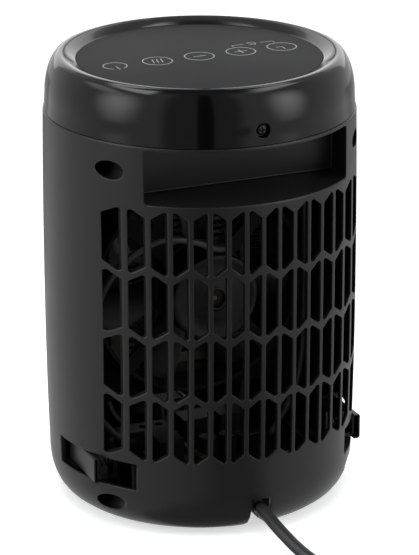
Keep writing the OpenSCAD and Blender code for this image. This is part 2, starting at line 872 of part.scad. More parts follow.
module power_board() {
    color([0.12, 0.3, 0.18]) difference() {
        block([-board_x, board_y[0], board_z], [board_x, board_y[1], board_top_z]);
        for (p = board_posts) translate([p[0], p[1], 0])
            cylinder(r = small_r + 0.2, h = far, $fn = 24);
    }
}

module power_relays() {
    color([0.1, 0.2, 0.45]) for (x = relay_xs)
        translate([x, relay_y, part_z]) cube(relay_size);
}

module supply_transformer() {
    color([0.75, 0.6, 0.15]) translate([trafo_at[0], trafo_at[1], part_z]) union() {
        cube([trafo_size[0], trafo_size[1], trafo_base + 1]);
        translate([3, 0, trafo_base])
            cube([trafo_size[0] - 6, trafo_size[1], trafo_size[2] - trafo_base]);
    }
}

module supply_capacitors() {
    color([0.1, 0.1, 0.12]) {
        for (p = cap_can_at)
            translate([p[0], p[1], part_z]) cylinder(r = cap_can_r, h = cap_can_h, $fn = 40);
        translate([relay_xs[0] + 2, cap_can_at[0][1] - 8, part_z]) cube([16, 8, 12.9]);
    }
}

module terminal_block() {
    color([0.15, 0.45, 0.25]) difference() {
        translate([block_at[0], block_at[1], part_z]) cube(block_size);
        for (i = [0.5 : block_size[0] / block_pitch])
            translate([block_at[0] + i * block_pitch, block_at[1] + block_size[1] / 2,
                       part_z + block_size[2] - 4]) cylinder(r = 2.2, h = 8, $fn = 24);
    }
}

module board_screws() {
    color("silver") for (p = board_posts)
        translate([p[0], p[1], board_top_z + seat]) rotate([180, 0, 0])
            screw(small_r, board_t + 8, small_head_r, small_head_h);
}

// Tip-over switch: the floor holds the plunger up; lifted or tipped, its spring drives it out.
tip_y = 12 - flange_in;
tip_half = 8;
pin_r = 2.5;
stem_r = 2;
collar_r = 4.5;
tip_travel = 3;
tip_floor = plate_top + 2.4;
collar_z = tip_floor + tip_travel + 0.4;
collar_t = 2;
chamber_top = collar_z + collar_t + 9.6;
housing_top = chamber_top + 2.4;
stem_top = housing_top + 2;
micro_h = 8;

module tip_switch_housing() {
    color([0.7, 0.7, 0.66]) translate([0, tip_y, 0]) difference() {
        union() {
            block([-tip_half, -tip_half, plate_top + seat], [tip_half, tip_half, housing_top]);
            for (s = [-1, 1]) block([s > 0 ? 6.2 : -tip_half, -tip_half, housing_top - 1],
                                    [s > 0 ? tip_half : -6.2, tip_half, stem_top + micro_h]);
        }
        cylinder(r = pin_r + run, h = far, $fn = 40);
        translate([0, 0, tip_floor]) cylinder(r = collar_r + 0.3, h = chamber_top - tip_floor, $fn = 40);
    }
}

module tip_plunger() {
    color([0.85, 0.85, 0.82]) translate([0, tip_y, 0]) {
        cylinder(r1 = pin_r - 0.6, r2 = pin_r, h = 0.6, $fn = 40);
        translate([0, 0, 0.6]) cylinder(r = pin_r, h = collar_z - 0.6, $fn = 40);
        translate([0, 0, collar_z]) cylinder(r = collar_r, h = collar_t, $fn = 40);
        translate([0, 0, collar_z + collar_t])
            cylinder(r = stem_r, h = stem_top - collar_z - collar_t, $fn = 40);
    }
}

module tip_microswitch() {
    color([0.1, 0.1, 0.1]) translate([0, tip_y, stem_top + seat]) {
        block([-6.1, -6, 0.6], [6.1, 6, micro_h - 1]);
        cylinder(r = 1, h = 1, $fn = 24);
    }
}

// Tube swept along a route; side names a direction that the route never runs along.
function unit(v) = v / norm(v);
function heading(p, i) = unit(p[min(i + 1, len(p) - 1)] - p[max(i - 1, 0)]);

module tube(route, r, sides, side) {
    n = len(route);
    points = [for (i = [0 : n - 1])
        let (t = heading(route, i), u = unit(cross(t, side)), v = cross(u, t))
        for (k = [0 : sides - 1])
            route[i] + r * (cos(360 * k / sides) * u + sin(360 * k / sides) * v)];
    walls = [for (i = [0 : n - 2]) for (k = [0 : sides - 1])
        let (a = i * sides + k, b = i * sides + (k + 1) % sides)
        each [[a, b, b + sides], [a, b + sides, a + sides]]];
    polyhedron(points, concat([[for (k = [sides - 1 : -1 : 0]) k]], walls,
                              [[for (k = [0 : sides - 1]) (n - 1) * sides + k]]));
}

// Coil spring along +Z with open ends.
module coil_spring(r, wire, length, turns) {
    steps = 10;
    tube([for (i = [0 : turns * steps])
              [r * cos(360 * i / steps), r * sin(360 * i / steps),
               wire + (length - 2 * wire) * i / (turns * steps)]],
         wire, 6, [0, 0, 1]);
}

module tip_spring() {
    color("silver") translate([0, tip_y, collar_z + collar_t + seat])
        coil_spring(3.4, 0.35, chamber_top - collar_z - collar_t - 2 * seat, 5);
}

module one_latch() {
    difference() {
        union() {
            translate([pivot_x, pivot_y, latch_z]) cylinder(r = barrel_r, h = latch_h, $fn = 48);
            block([latch_x - latch_t, pivot_y - 1, latch_z], [latch_x, latch_end, latch_z + latch_h]);
            block([ear_in, ear_y[0], latch_z], [latch_x - 1, ear_y[1], latch_z + latch_h]);
            block([ear_in, ear_y[0], latch_z - stop_h],
                  [ear_out, ear_y[1], latch_z + latch_h + stop_h]);
        }
        translate([pivot_x, pivot_y, 0]) cylinder(r = latch_pin_r + run, h = far, $fn = 40);
    }
}

module right_latch() {
    color([0.15, 0.15, 0.15]) one_latch();
}

module left_latch() {
    color([0.15, 0.15, 0.15]) mirror([1, 0, 0]) one_latch();
}

module latch_pins() {
    color("silver") both_sides()
        translate([pivot_x, pivot_y, slot_z - lug_t])
            cylinder(r = latch_pin_r, h = slot_h + 2 * lug_t, $fn = 32);
}

module one_latch_spring() {
    translate([post_in + post_t + seat, spring_y, latch_z + latch_h / 2]) rotate([0, 90, 0])
        coil_spring(3, 0.35, latch_x - latch_t - post_in - post_t - 2 * seat, 5);
}

module right_latch_spring() {
    color("silver") one_latch_spring();
}

module left_latch_spring() {
    color("silver") mirror([1, 0, 0]) one_latch_spring();
}

// Strain relief moulded on the cord, clamped in the saddle of the base plate.
relief_end = 80;

module cord_relief() {
    color([0.07, 0.07, 0.07]) union() {
        rod_y(0, cord_z, saddle_y[0] - 2, saddle_y[1] + 2, relief_r);
        rod_y(0, cord_z, saddle_y[0] - 4, saddle_y[0] - 1.5, relief_r + 1);
        translate([0, saddle_y[1] + 2, cord_z]) rotate([-90, 0, 0])
            cylinder(r1 = relief_r, r2 = cord_d / 2 + 0.5, h = relief_end - saddle_y[1] - 2);
    }
}

module cord_clamp() {
    color([0.14, 0.14, 0.14]) difference() {
        block([-saddle_x, saddle_y[0] + 1, cord_z + 0.5],
              [saddle_x, saddle_y[1] - 1, cord_z + relief_r + 2.5]);
        rod_y(0, cord_z, 0, far, relief_r + seat);
        for (s = [-1, 1]) translate([s * clamp_screw_x, (saddle_y[0] + saddle_y[1]) / 2, 0])
            cylinder(r = small_r + 0.2, h = far, $fn = 24);
    }
}

module clamp_screws() {
    color("silver") for (s = [-1, 1])
        translate([s * clamp_screw_x, (saddle_y[0] + saddle_y[1]) / 2, cord_z + relief_r + 2.6])
            rotate([180, 0, 0]) screw(small_r, relief_r + 10, small_head_r, small_head_h);
}

// Inner leads. Each route is chosen by hand to clear the fan, the motor and the boards.
lead_r = 2.2;
motor_route = [[-9, 16, 141.2], [-4, 21, 143], [4, 25, 146], [13, 28, 151], [24, 30, 155],
               [36, 30, 156], [47, 28, 151], [57, 24, 142], [64, 18, 128], [67, 13, 112],
               [68, 9, 95], [68, 6, 78], [66, 4, 62], [62, 2, 48], [55, 0, 38], [48, -1, 31],
               [42, -4, 26.5], [38, -7.5, 24], [38, -9.8, 24]];
heater_route = [[40, -36, core_low - 0.3], [40, -36, core_low - 5], [42, -36, 43],
                [41, -33, 35], [37, -28.5, 28.5], [32, -26, 25], [30, -23.8, 24], [30, -22.2, 24]];
side_run = 5 - shroud_x;
harness_route = [[side_run + 19, 0, 237], [side_run + 18, -4, 230], [side_run + 16, -8, 222],
                 [side_run + 14, -11, 212], [side_run + 12, -12, 202], [side_run + 8, -12, 190],
                 [side_run + 3, -12, 178], [side_run, -12, 162], [side_run, -12, 144],
                 [side_run, -12, 126], [side_run, -12, 108], [side_run, -12, 90],
                 [side_run, -12, 72], [side_run + 2, -10, 58], [side_run + 7, -6, 44],
                 [-board_x - 6, -2, 32], [2 - board_x, 1, 24], [5 - board_x, 2, 20.5],
                 [5 - board_x, 2, 17.5]];
mains_route = [[0, 38.8, 14.5], [0, 37.6, 14.5], [0.4, 36.2, 16.6], [2, 34.2, 20.5],
               [7, 30, 23.5], [11, 23, 24], [12.5, 14, 24], [13, 5, 24], [16, -2, 24],
               [20, -7.5, 24], [20, -9.8, 24]];
upright = [0, 0, 1];
level = [0.3, 1, 0];

module motor_leads() {
    color([0.6, 0.6, 0.6]) tube(motor_route, lead_r, 8, level);
}

module heater_leads() {
    color([0.75, 0.72, 0.68]) both_sides() tube(heater_route, lead_r * 0.8, 8, [1, 0, 0.1]);
}

module mains_leads() {
    color([0.5, 0.3, 0.2]) tube(mains_route, lead_r * 0.9, 8, level);
}

module panel_harness() {
    color([0.55, 0.55, 0.55]) tube(harness_route, lead_r * 0.8, 8, level);
}

// Mains cord: free stretch, coil of the spare length, tail and plug.
cord_r = cord_d / 2;
cord_route = [[0, 80.1, 14.5], [0, 83, 14.5], [0, 88, 14], [-0.5, 94, 12.9], [-1, 102, 11.3], [-2, 111, 9.4],
              [-3.5, 121, 7.3], [-6, 132, 5.3], [-10, 143, 3.9], [-16, 153.5, 3.4],
              [-24, 162.5, 3.4], [-34, 171, 3.6], [-44, 179, 3.9], [-54, 187, 4.1]];
coil_at = [-26, 222];
coil_r = 38;
tie_t = 0.7;
tail_route = [[5.1, 254, 10.9], [14.2, 245.4, 10.5], [23.3, 236.6, 9.9], [28.2, 230.9, 9.2],
              [32, 224, 8.5], [34.3, 216.4, 8.1], [35, 209.3, 8]];
plug_from = [35, 208.9, 8];
plug_l = 34;
plug_t = 16;
plug_w = 24;
grip_l = 22;

module mains_cord() {
    color([0.08, 0.08, 0.08]) tube(cord_route, cord_r, 10, upright);
}

module cord_coil() {
    half = cord_d * 1.5;
    color([0.08, 0.08, 0.08]) translate([coil_at[0], coil_at[1], tie_t]) rotate_extrude()
        translate([coil_r - half, 0]) polygon([[1, 0], [2 * half - 1, 0], [2 * half, 1],
            [2 * half, 2 * cord_d - 1], [2 * half - 1, 2 * cord_d], [1, 2 * cord_d],
            [0, 2 * cord_d - 1], [0, 1]]);
}

module cord_tail() {
    color([0.08, 0.08, 0.08]) tube(tail_route, cord_r, 10, upright);
}

module cord_tie() {
    half = cord_d * 1.5 + 0.3;
    tall = 2 * cord_d + 2 * tie_t;
    color([0.05, 0.05, 0.05]) translate([coil_at[0], coil_at[1], 0]) rotate(330)
        translate([coil_r, 3, 0]) rotate([90, 0, 0]) linear_extrude(6) difference() {
            translate([-half - tie_t, 0]) square([2 * (half + tie_t), tall + seat]);
            translate([-half, tie_t - seat / 2]) square([2 * half, 2 * cord_d + seat]);
        }
}

module mains_plug() {
    color([0.07, 0.07, 0.07]) translate(plug_from) rotate([90, 0, 0]) union() {
        cylinder(r1 = cord_r + 0.6, r2 = cord_r + 2.6, h = grip_l, $fn = 40);
        translate([-plug_w / 2 + 3, -plug_t / 2, grip_l - 0.5]) cube([plug_w - 6, plug_t, plug_l]);
        translate([-plug_w / 2, -plug_t / 2 + 2, grip_l + 2]) cube([plug_w, plug_t - 4, plug_l - 2.5]);
    }
}

module plug_blades() {
    color("goldenrod") for (s = [-1, 1])
        translate(plug_from - [0.75 - s * 6.35, grip_l + plug_l - 0.5 + seat + 17.5, 3.15])
            cube([1.5, 17.5, 6.3]);
}

rear_shell();
front_shell();
front_grille();
top_cap();
touch_panel();
touch_board();
touch_springs();
panel_screws();
base_plate();
foot_pads();
base_screws();
shell_screws();
cap_screw();
fan_shroud();
fan_impeller();
fan_clip();
motor_can();
motor_cover();
motor_stator();
motor_windings();
motor_rotor();
motor_shaft();
motor_bearings();
motor_screws();
heater_frame();
heater_fins();
ceramic_bars();
electrode_straps();
core_screws();
thermostat();
thermal_fuse();
power_board();
power_relays();
supply_transformer();
supply_capacitors();
terminal_block();
board_screws();
tip_switch_housing();
tip_plunger();
tip_spring();
tip_microswitch();
right_latch();
left_latch();
latch_pins();
right_latch_spring();
left_latch_spring();
cord_relief();
cord_clamp();
clamp_screws();
motor_leads();
heater_leads();
panel_harness();
mains_leads();
mains_cord();
cord_coil();
cord_tail();
cord_tie();
mains_plug();
plug_blades();
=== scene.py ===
"""Looks of a small round ceramic space heater, seen from behind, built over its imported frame."""
import math

import bmesh
import bpy
import numpy as np
from mathutils import Matrix, Vector
from mathutils.geometry import delaunay_2d_cdt


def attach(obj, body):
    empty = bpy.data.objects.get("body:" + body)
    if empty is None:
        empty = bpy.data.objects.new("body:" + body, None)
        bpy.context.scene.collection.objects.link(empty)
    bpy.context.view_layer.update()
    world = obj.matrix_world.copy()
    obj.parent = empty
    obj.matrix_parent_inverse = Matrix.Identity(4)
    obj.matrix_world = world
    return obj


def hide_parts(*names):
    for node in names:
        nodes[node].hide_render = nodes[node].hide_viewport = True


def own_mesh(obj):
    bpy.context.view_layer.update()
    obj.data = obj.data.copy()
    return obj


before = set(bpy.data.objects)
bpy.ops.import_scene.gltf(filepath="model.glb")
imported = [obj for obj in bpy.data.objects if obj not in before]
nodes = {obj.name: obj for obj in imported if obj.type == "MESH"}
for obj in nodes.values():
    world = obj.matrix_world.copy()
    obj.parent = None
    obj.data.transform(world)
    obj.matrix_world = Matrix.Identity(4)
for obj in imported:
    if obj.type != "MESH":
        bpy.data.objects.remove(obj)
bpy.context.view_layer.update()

MM = 0.001

# ---------------------------------------------------------------- the studio
# A pale sweep of floor, a soft sky and large diffusing panels stand round the heater. The camera looks
# from behind and a little to one side, from above the rim.
scene = bpy.context.scene
scene.view_settings.view_transform = "Standard"
WHITE_IN_GLOSS = 0.9
CAMERA_TURN, CAMERA_RISE, CAMERA_ROLL, CAMERA_FAR, CAMERA_AIM = 156.88, 19.80, -0.17, 1.5616, 0.120


def placed(name, data):
    """A new object in the scene, at the origin."""
    obj = bpy.data.objects.new(name, data)
    scene.collection.objects.link(obj)
    return obj


def node_maker(material):
    """The ways to add a node to a material or world, and to join two sockets."""
    material.use_nodes = True
    return material.node_tree, material.node_tree.nodes.new, material.node_tree.links.new


def studio_camera():
    turn, rise, roll = [math.radians(a) for a in (CAMERA_TURN, CAMERA_RISE, CAMERA_ROLL)]
    back = Vector((math.sin(turn) * math.cos(rise), -math.cos(turn) * math.cos(rise), math.sin(rise)))
    right = Vector((math.cos(turn), math.sin(turn), 0))
    up = back.cross(right)
    level = right * math.cos(roll) + up * math.sin(roll)
    upright = back.cross(level)
    data = bpy.data.cameras.new("studio_camera")
    data.lens, data.sensor_width, data.shift_x = 182.96, 36, 0.017
    data.clip_start, data.clip_end = 0.05, 20
    camera = placed("studio_camera", data)
    place = Matrix((level, upright, back)).transposed().to_4x4()
    place.translation = Vector((0, 0, CAMERA_AIM)) + back * CAMERA_FAR
    camera.matrix_world = place
    scene.camera = camera


studio_camera()


def shown(tree):
    """Tells rays from the camera, and those in gloss or through glass, from the ones that carry light."""
    path, both = tree.nodes.new("ShaderNodeLightPath"), tree.nodes.new("ShaderNodeMath")
    both.operation = "MAXIMUM"
    tree.links.new(path.outputs["Is Glossy Ray"], both.inputs[0])
    tree.links.new(path.outputs["Is Transmission Ray"], both.inputs[1])
    return path.outputs["Is Camera Ray"], both.outputs[0]


def sky():
    world = bpy.data.worlds.new("studio_sky")
    scene.world = world
    t, new, link = node_maker(world)
    t.nodes.clear()
    out = new("ShaderNodeOutputWorld")
    layers = []
    for colour, level in (((0.95, 0.97, 1.0, 1), 0.62), ((1, 1, 1, 1), 1.0), ((1, 1, 1, 1), WHITE_IN_GLOSS)):
        layer = new("ShaderNodeBackground")
        layer.inputs["Color"].default_value, layer.inputs["Strength"].default_value = colour, level
        layers.append(layer.outputs[0])
    so_far = layers[0]
    for layer, kind in zip(layers[1:], shown(t)):
        mix = new("ShaderNodeMixShader")
        for socket, source in zip(mix.inputs, (kind, so_far, layer)):
            link(source, socket)
        so_far = mix.outputs[0]
    link(so_far, out.inputs[0])


def floor():
    size = 3.0
    mesh = bpy.data.meshes.new("studio_floor")
    mesh.from_pydata([(-size, -size, 0), (size, -size, 0), (size, size, 0), (-size, size, 0)], [],
                     [(0, 1, 2, 3)])
    paper = bpy.data.materials.new("studio_paper")
    t, new, link = node_maker(paper)
    out, body = t.nodes["Material Output"], t.nodes["Principled BSDF"]
    body.inputs["Base Color"].default_value = (0.80, 0.80, 0.80, 1)
    body.inputs["Roughness"].default_value = 0.75
    glow, white = new("ShaderNodeEmission"), new("ShaderNodeEmission")
    add, mix, share = new("ShaderNodeAddShader"), new("ShaderNodeMixShader"), new("ShaderNodeMath")
    white.inputs["Strength"].default_value = WHITE_IN_GLOSS
    share.operation = "MULTIPLY"
    share.inputs[1].default_value = 0.55
    from_camera, in_gloss = shown(t)
    for source, target in (
            (from_camera, share.inputs[0]), (share.outputs[0], glow.inputs["Strength"]),
            (body.outputs[0], add.inputs[0]), (glow.outputs[0], add.inputs[1]), (in_gloss, mix.inputs[0]),
            (add.outputs[0], mix.inputs[1]), (white.outputs[0], mix.inputs[2]),
            (mix.outputs[0], out.inputs["Surface"])):
        link(source, target)
    mesh.materials.append(paper)
    placed("studio_floor", mesh)


def softbox(name, place, aim, width, height, watts):
    light = bpy.data.lights.new(name, "AREA")
    light.shape, light.size, light.size_y, light.energy = "RECTANGLE", width, height, watts
    lamp = placed(name, light)
    lamp.location = place
    lamp.rotation_euler = (Vector(aim) - Vector(place)).to_track_quat("-Z", "Y").to_euler()
    lamp.visible_glossy = False


def card(name, corners, level, edge=0.0, along=(1, 1, 0)):
    """A studio card that is found in gloss only; with an edge it fades out towards its border."""
    mesh = bpy.data.meshes.new(name)
    mesh.from_pydata(corners, [], [(0, 1, 2, 3)])
    uv = mesh.uv_layers.new(name="across")
    for loop, at in zip(uv.data, ((0, 0), (1, 0), (1, 1), (0, 1))):
        loop.uv = at
    obj = placed(name, mesh)
    paint = bpy.data.materials.new(name + "_paint")
    t, new, link = node_maker(paint)
    t.nodes.clear()
    out, glow = new("ShaderNodeOutputMaterial"), new("ShaderNodeEmission")
    glow.inputs["Color"].default_value = (1, 1, 1, 1)
    glow.inputs["Strength"].default_value = level
    if edge:
        spot, fade = new("ShaderNodeTexCoord"), new("ShaderNodeMapRange")
        off, keep, far = [new("ShaderNodeVectorMath") for _ in range(3)]
        off.operation, off.inputs[1].default_value = "SUBTRACT", (0.5, 0.5, 0)
        keep.operation, keep.inputs[1].default_value = "MULTIPLY", along
        far.operation = "LENGTH"
        fade.interpolation_type = "SMOOTHSTEP"
        fade.inputs["From Min"].default_value, fade.inputs["From Max"].default_value = 0.5 - edge, 0.5
        fade.inputs["To Min"].default_value, fade.inputs["To Max"].default_value = 1, 0
        link(spot.outputs["UV"], off.inputs[0])
        link(off.outputs[0], keep.inputs[0])
        link(keep.outputs[0], far.inputs[0])
        link(far.outputs["Value"], fade.inputs["Value"])
        clear, mix = new("ShaderNodeBsdfTransparent"), new("ShaderNodeMixShader")
        link(fade.outputs[0], mix.inputs[0])
        link(clear.outputs[0], mix.inputs[1])
        link(glow.outputs[0], mix.inputs[2])
        link(mix.outputs[0], out.inputs["Surface"])
    else:
        link(glow.outputs[0], out.inputs["Surface"])
    mesh.materials.append(paint)
    obj.visible_camera = obj.visible_diffuse = obj.visible_shadow = obj.visible_transmission = False


def seen_from_camera(turn, reach, height):
    """A place round the heater: degrees anticlockwise from the camera's side, metres out and up."""
    a = math.radians(CAMERA_TURN - 90 + turn)
    return math.cos(a) * reach, math.sin(a) * reach, height


def standing_card(name, left, right, low, top, reach, level, edge=0.0, along=(1, 1, 0)):
    places = [seen_from_camera(turn, reach, height)
              for turn, height in ((left, low), (right, low), (right, top), (left, top))]
    card(name, places, level, edge, along)


def lying_card(name, left, right, near, far, height, level, edge=0.0, along=(1, 0, 0)):
    places = [seen_from_camera(turn, reach, height)
              for turn, reach in ((left, near), (right, near), (right, far), (left, far))]
    card(name, places, level, edge, along)


sky()
floor()
softbox("overhead_box", (0.15, 0.25, 1.5), (0, 0, 0.1), 1.1, 1.1, 9)
softbox("left_box", (1.5, -0.1, 0.5), (0, 0, 0.12), 0.5, 1.2, 9)
softbox("right_box", (-1.1, 0.9, 0.6), (0, 0, 0.12), 0.6, 1.2, 6)
for kind, *card_place in (
        (lying_card, "dark_floor_card", -32, 36, 0.09, 1.3, 0.002, 0.34, 0.15),
        (standing_card, "dark_wall_card", -32, 36, 0.0, 2.2, 1.3, 0.34, 0.2, (1, 0, 0)),
        (standing_card, "black_strip", -1.5, 10, 0.0, 2.2, 1.0, 0.0),
        (lying_card, "black_floor_strip", -1.5, 10, 0.55, 1.0, 0.003, 0.0),
        (standing_card, "far_card", 140, 220, 0.28, 0.80, 1.0, 2.1),
        (standing_card, "far_gap_card", 177.4, 182.2, 0.28, 0.80, 0.755, 1.1),
        (standing_card, "far_black_strip", 179.1, 180.2, 0.2, 1.3, 0.74, 0.0),
        (standing_card, "far_upper_card", 130, 230, 0.80, 1.3, 1.0, 0.62),
        (standing_card, "left_glow", -86, -38, -0.2, 1.4, 1.4, 4.8, 0.5),
        (standing_card, "right_glow", 46, 88, -0.2, 1.4, 1.4, 4.8, 0.5),
        (standing_card, "far_left_card", 198, 238, 0.50, 1.45, 0.98, 1.5, 0.35),
        (standing_card, "far_right_card", 122, 162, 0.50, 1.45, 0.98, 1.5, 0.35),
        (lying_card, "far_floor_card", 128, 218, 0.40, 1.9, 0.002, 0.45, 0.12),
        (lying_card, "left_lip_card", -114, -44, 0.42, 1.50, 1.45, 7.0, 0.3, (1, 1, 0)),
        (lying_card, "left_back_lip_card", -176, -102, 0.38, 1.20, 1.44, 6.0, 0.3, (1, 1, 0)),
        (lying_card, "right_lip_card", 46, 116, 0.42, 1.50, 1.45, 5.6, 0.3, (1, 1, 0)),
        (lying_card, "right_back_lip_card", 104, 172, 0.38, 1.20, 1.44, 4.6, 0.3, (1, 1, 0)),
        (standing_card, "left_high_card", -114, -60, 0.80, 1.50, 1.5, 3.0, 0.35)):
    kind(*card_place)
card("ceiling_card", [seen_from_camera(t, 1.5, 1.5) for t in (-45, 45, 135, 225)], 0.2, 0.25)

# ---------------------------------------------------------------- the mains cord
# A round two-core cord in black PVC, 6.8 mm thick. It leaves the relief at the back, sinks to the
# table and runs off behind, where its spare length is wound into two layers and tied.
CORD_R = 3.4
CORD_ROUTE = [(0, 80.1, 14.5), (0, 83, 14.5), (0, 88, 14), (-0.5, 94, 12.9), (-1, 102, 11.3), (-2, 111, 9.4),
              (-3.5, 121, 7.3), (-6, 132, 5.3), (-10, 143, 3.9), (-16, 153.5, 3.4), (-24, 162.5, 3.4),
              (-34, 171, 3.6), (-44, 179, 3.9)]
COIL_AT, COIL_R, COIL_FROM, COIL_SWEEP = (-26, 222), 44.8, 231.3, 1985.0
LAYER_1, LAYER_2, CLIMB_AT = 4.1, 6.8, 930
TAIL_ROUTE = [(14.2, 245.4, 10.5), (23.3, 236.6, 9.9), (28.2, 230.9, 9.2), (32, 224, 8.5),
              (34.3, 216.4, 8.1), (35, 209.3, 8)]


def ease(t):
    t = min(max(t, 0.0), 1.0)
    return t * t * (3 - 2 * t)


def coil_point(swept):
    """The cord's middle in the coil, once it has swept that many degrees clockwise from where it comes in."""
    r = COIL_R - 2 * CORD_R * (ease((swept - 240) / 120) + ease((swept - 600) / 120))
    r += 2 * CORD_R * (ease((swept - 1245) / 135) + ease((swept - 1605) / 135))
    r -= 0.3 * math.sin(math.pi * min(max((swept - CLIMB_AT) / 120, 0), 1))
    z = LAYER_1 + LAYER_2 * ease((swept - CLIMB_AT) / 120)
    a = math.radians(COIL_FROM - swept)
    return (COIL_AT[0] + r * math.cos(a), COIL_AT[1] + r * math.sin(a), z)


def through(points, gap):
    """Points a short gap apart on the smooth line through the given ones."""
    p = [Vector(q) for q in points]
    p = [p[0] * 2 - p[1]] + p + [p[-1] * 2 - p[-2]]
    fine = []
    for i in range(1, len(p) - 2):
        a, b, c, d = p[i - 1:i + 3]
        for k in range(8):
            t = k / 8
            fine.append(0.5 * ((2 * b) + (c - a) * t + (2 * a - 5 * b + 4 * c - d) * t * t
                               + (3 * b - a - 3 * c + d) * t ** 3))
    fine.append(p[-2])
    dist = [0.0]
    for a, b in zip(fine, fine[1:]):
        dist.append(dist[-1] + (b - a).length)
    n = max(2, round(dist[-1] / gap))
    out, j = [], 0
    for i in range(n + 1):
        want = dist[-1] * i / n
        while j < len(dist) - 2 and dist[j + 1] < want:
            j += 1
        t = (want - dist[j]) / max(dist[j + 1] - dist[j], 1e-9)
        out.append(fine[j].lerp(fine[j + 1], min(t, 1)))
    return out


def hose(name, path, radius, sides):
    """A closed tube along a path in millimetres. radius is a number, or one for each point."""
    path = [Vector(p) for p in path]
    radii = radius if hasattr(radius, "__len__") else [radius] * len(path)
    verts, faces, uvs = [], [], []
    ahead = [(path[min(i + 1, len(path) - 1)] - path[max(i - 1, 0)]).normalized() for i in range(len(path))]
    side = ahead[0].orthogonal().normalized()
    run = 0.0
    for i, p in enumerate(path):
        if i:
            run += (p - path[i - 1]).length
            side = (side - ahead[i] * side.dot(ahead[i])).normalized()
        over = ahead[i].cross(side)
        for k in range(sides):
            a = 2 * math.pi * k / sides
            verts.append((p + (side * math.cos(a) + over * math.sin(a)) * radii[i]) * MM)
        uvs.append(run)
    for i in range(len(path) - 1):
        for k in range(sides):
            j = (k + 1) % sides
            faces.append((i * sides + k, i * sides + j, (i + 1) * sides + j, (i + 1) * sides + k))
    faces += [tuple(reversed(range(sides))), tuple(range((len(path) - 1) * sides, len(path) * sides))]
    mesh = bpy.data.meshes.new(name)
    mesh.from_pydata(verts, [], faces)
    mesh.shade_smooth()
    uv = mesh.uv_layers.new(name="along")
    for face in mesh.polygons:
        for li in face.loop_indices:
            v = mesh.loops[li].vertex_index
            k = v % sides
            if k == 0 and face.loop_total == 4 and max(mesh.loops[q].vertex_index % sides
                                                       for q in face.loop_indices) == sides - 1:
                k = sides
            uv.data[li].uv = (uvs[v // sides] * MM, k / sides)
    return placed(name, mesh)


def surface(name, looks, noises, tints, gloss, gloss_noise, depth, streak=None):
    """A procedural finish: a broad noise tints it, a fine one gives it relief, and one moves its gloss."""
    m = bpy.data.materials.new(name)
    t, new, link = node_maker(m)
    body, where = t.nodes["Principled BSDF"], new("ShaderNodeTexCoord").outputs["Object"]
    fine, broad = new("ShaderNodeTexNoise"), new("ShaderNodeTexNoise")
    tint, drift, bump = new("ShaderNodeMix"), new("ShaderNodeMapRange"), new("ShaderNodeBump")
    tint.data_type = "RGBA"
    tint.inputs[6].default_value, tint.inputs[7].default_value = tints
    for node, values in ((body, looks), (fine, noises[0]), (broad, noises[1]), (drift, gloss),
                         (bump, {"Distance": depth})):
        for socket, value in values.items():
            node.inputs[socket].default_value = value
    lay = where
    if streak:
        run = new("ShaderNodeMapping")
        run.inputs["Scale"].default_value = streak
        link(where, run.inputs["Vector"])
        lay = run.outputs["Vector"]
    moved_by = (fine, broad)[gloss_noise]
    for source, target in (
            (lay, fine.inputs["Vector"]), (where, broad.inputs["Vector"]),
            (broad.outputs["Fac"], tint.inputs[0]), (tint.outputs[2], body.inputs["Base Color"]),
            (moved_by.outputs["Fac"], drift.inputs["Value"]),
            (drift.outputs["Result"], body.inputs["Roughness"]),
            (fine.outputs["Fac"], bump.inputs["Height"]), (bump.outputs["Normal"], body.inputs["Normal"])):
        link(source, target)
    return m


def moulded(name, colour, rough, grain=0.00045, depth=0.000012, wear=0.08, gloss=0.5):
    """Moulded plastic: a fine spark-eroded grain, a gloss that drifts a little over the part, faint dust."""
    dark = [c * (1 - 1.4 * wear) for c in colour]
    pale = [min(1, c * (1 + 1.4 * wear) + 0.0004) for c in colour]
    return surface(name, {"Specular IOR Level": gloss},
                   ({"Scale": 1 / grain, "Detail": 2}, {"Scale": 38, "Detail": 5, "Roughness": 0.62}),
                   ((*dark, 1), (*pale, 1)),
                   {"From Min": 0.3, "From Max": 0.7, "To Min": rough * (1 - wear),
                    "To Max": min(1, rough * (1 + wear))}, 1, depth)


SCRATCH_DEPTH = 0.000004


def drawn_metal(name, colour, rough, grain=0.0004, streak=(1, 1, 1), tint=0.06):
    """Metal with fine scratches that run one way, and a gloss that drifts with handling."""
    dark, pale = [c * (1 - tint * 2) for c in colour], [min(1, c * (1 + tint)) for c in colour]
    return surface(name, {"Metallic": 1}, ({"Scale": 1 / grain, "Detail": 3}, {"Scale": 90, "Detail": 4}),
                   ((*dark, 1), (*pale, 1)), {"To Min": rough * 0.75, "To Max": min(1, rough * 1.3)}, 0,
                   SCRATCH_DEPTH, streak)


cord_pvc = moulded("cord_pvc", (0.017, 0.017, 0.018), 0.42, grain=0.0009, depth=0.00002)


def mains_cord():
    coil = [coil_point(COIL_SWEEP * i / 260) for i in range(261)]
    line = through(CORD_ROUTE + coil[::3] + [coil[-1]] + TAIL_ROUTE, 2.4)
    line = [Vector((0, 80.1, 14.5))] + line[1:]
    cord = hose("mains_cord_run", line, CORD_R, 20)
    cord.data.materials.append(cord_pvc)
    length = sum((b - a).length for a, b in zip(line, line[1:])) * MM
    return cord, [p * MM for p in line], length


def stand_for(piece, node, slot, body="housing", *more_nodes):
    """Puts a piece on its body in place of a CAD solid, and hides that solid and any others named."""
    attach(piece, body)
    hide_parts(node, *more_nodes)


cord_run, cord_line, cord_length = mains_cord()
stand_for(cord_run, "mains_cord", "cord_black", "housing", "cord_coil", "cord_tail")

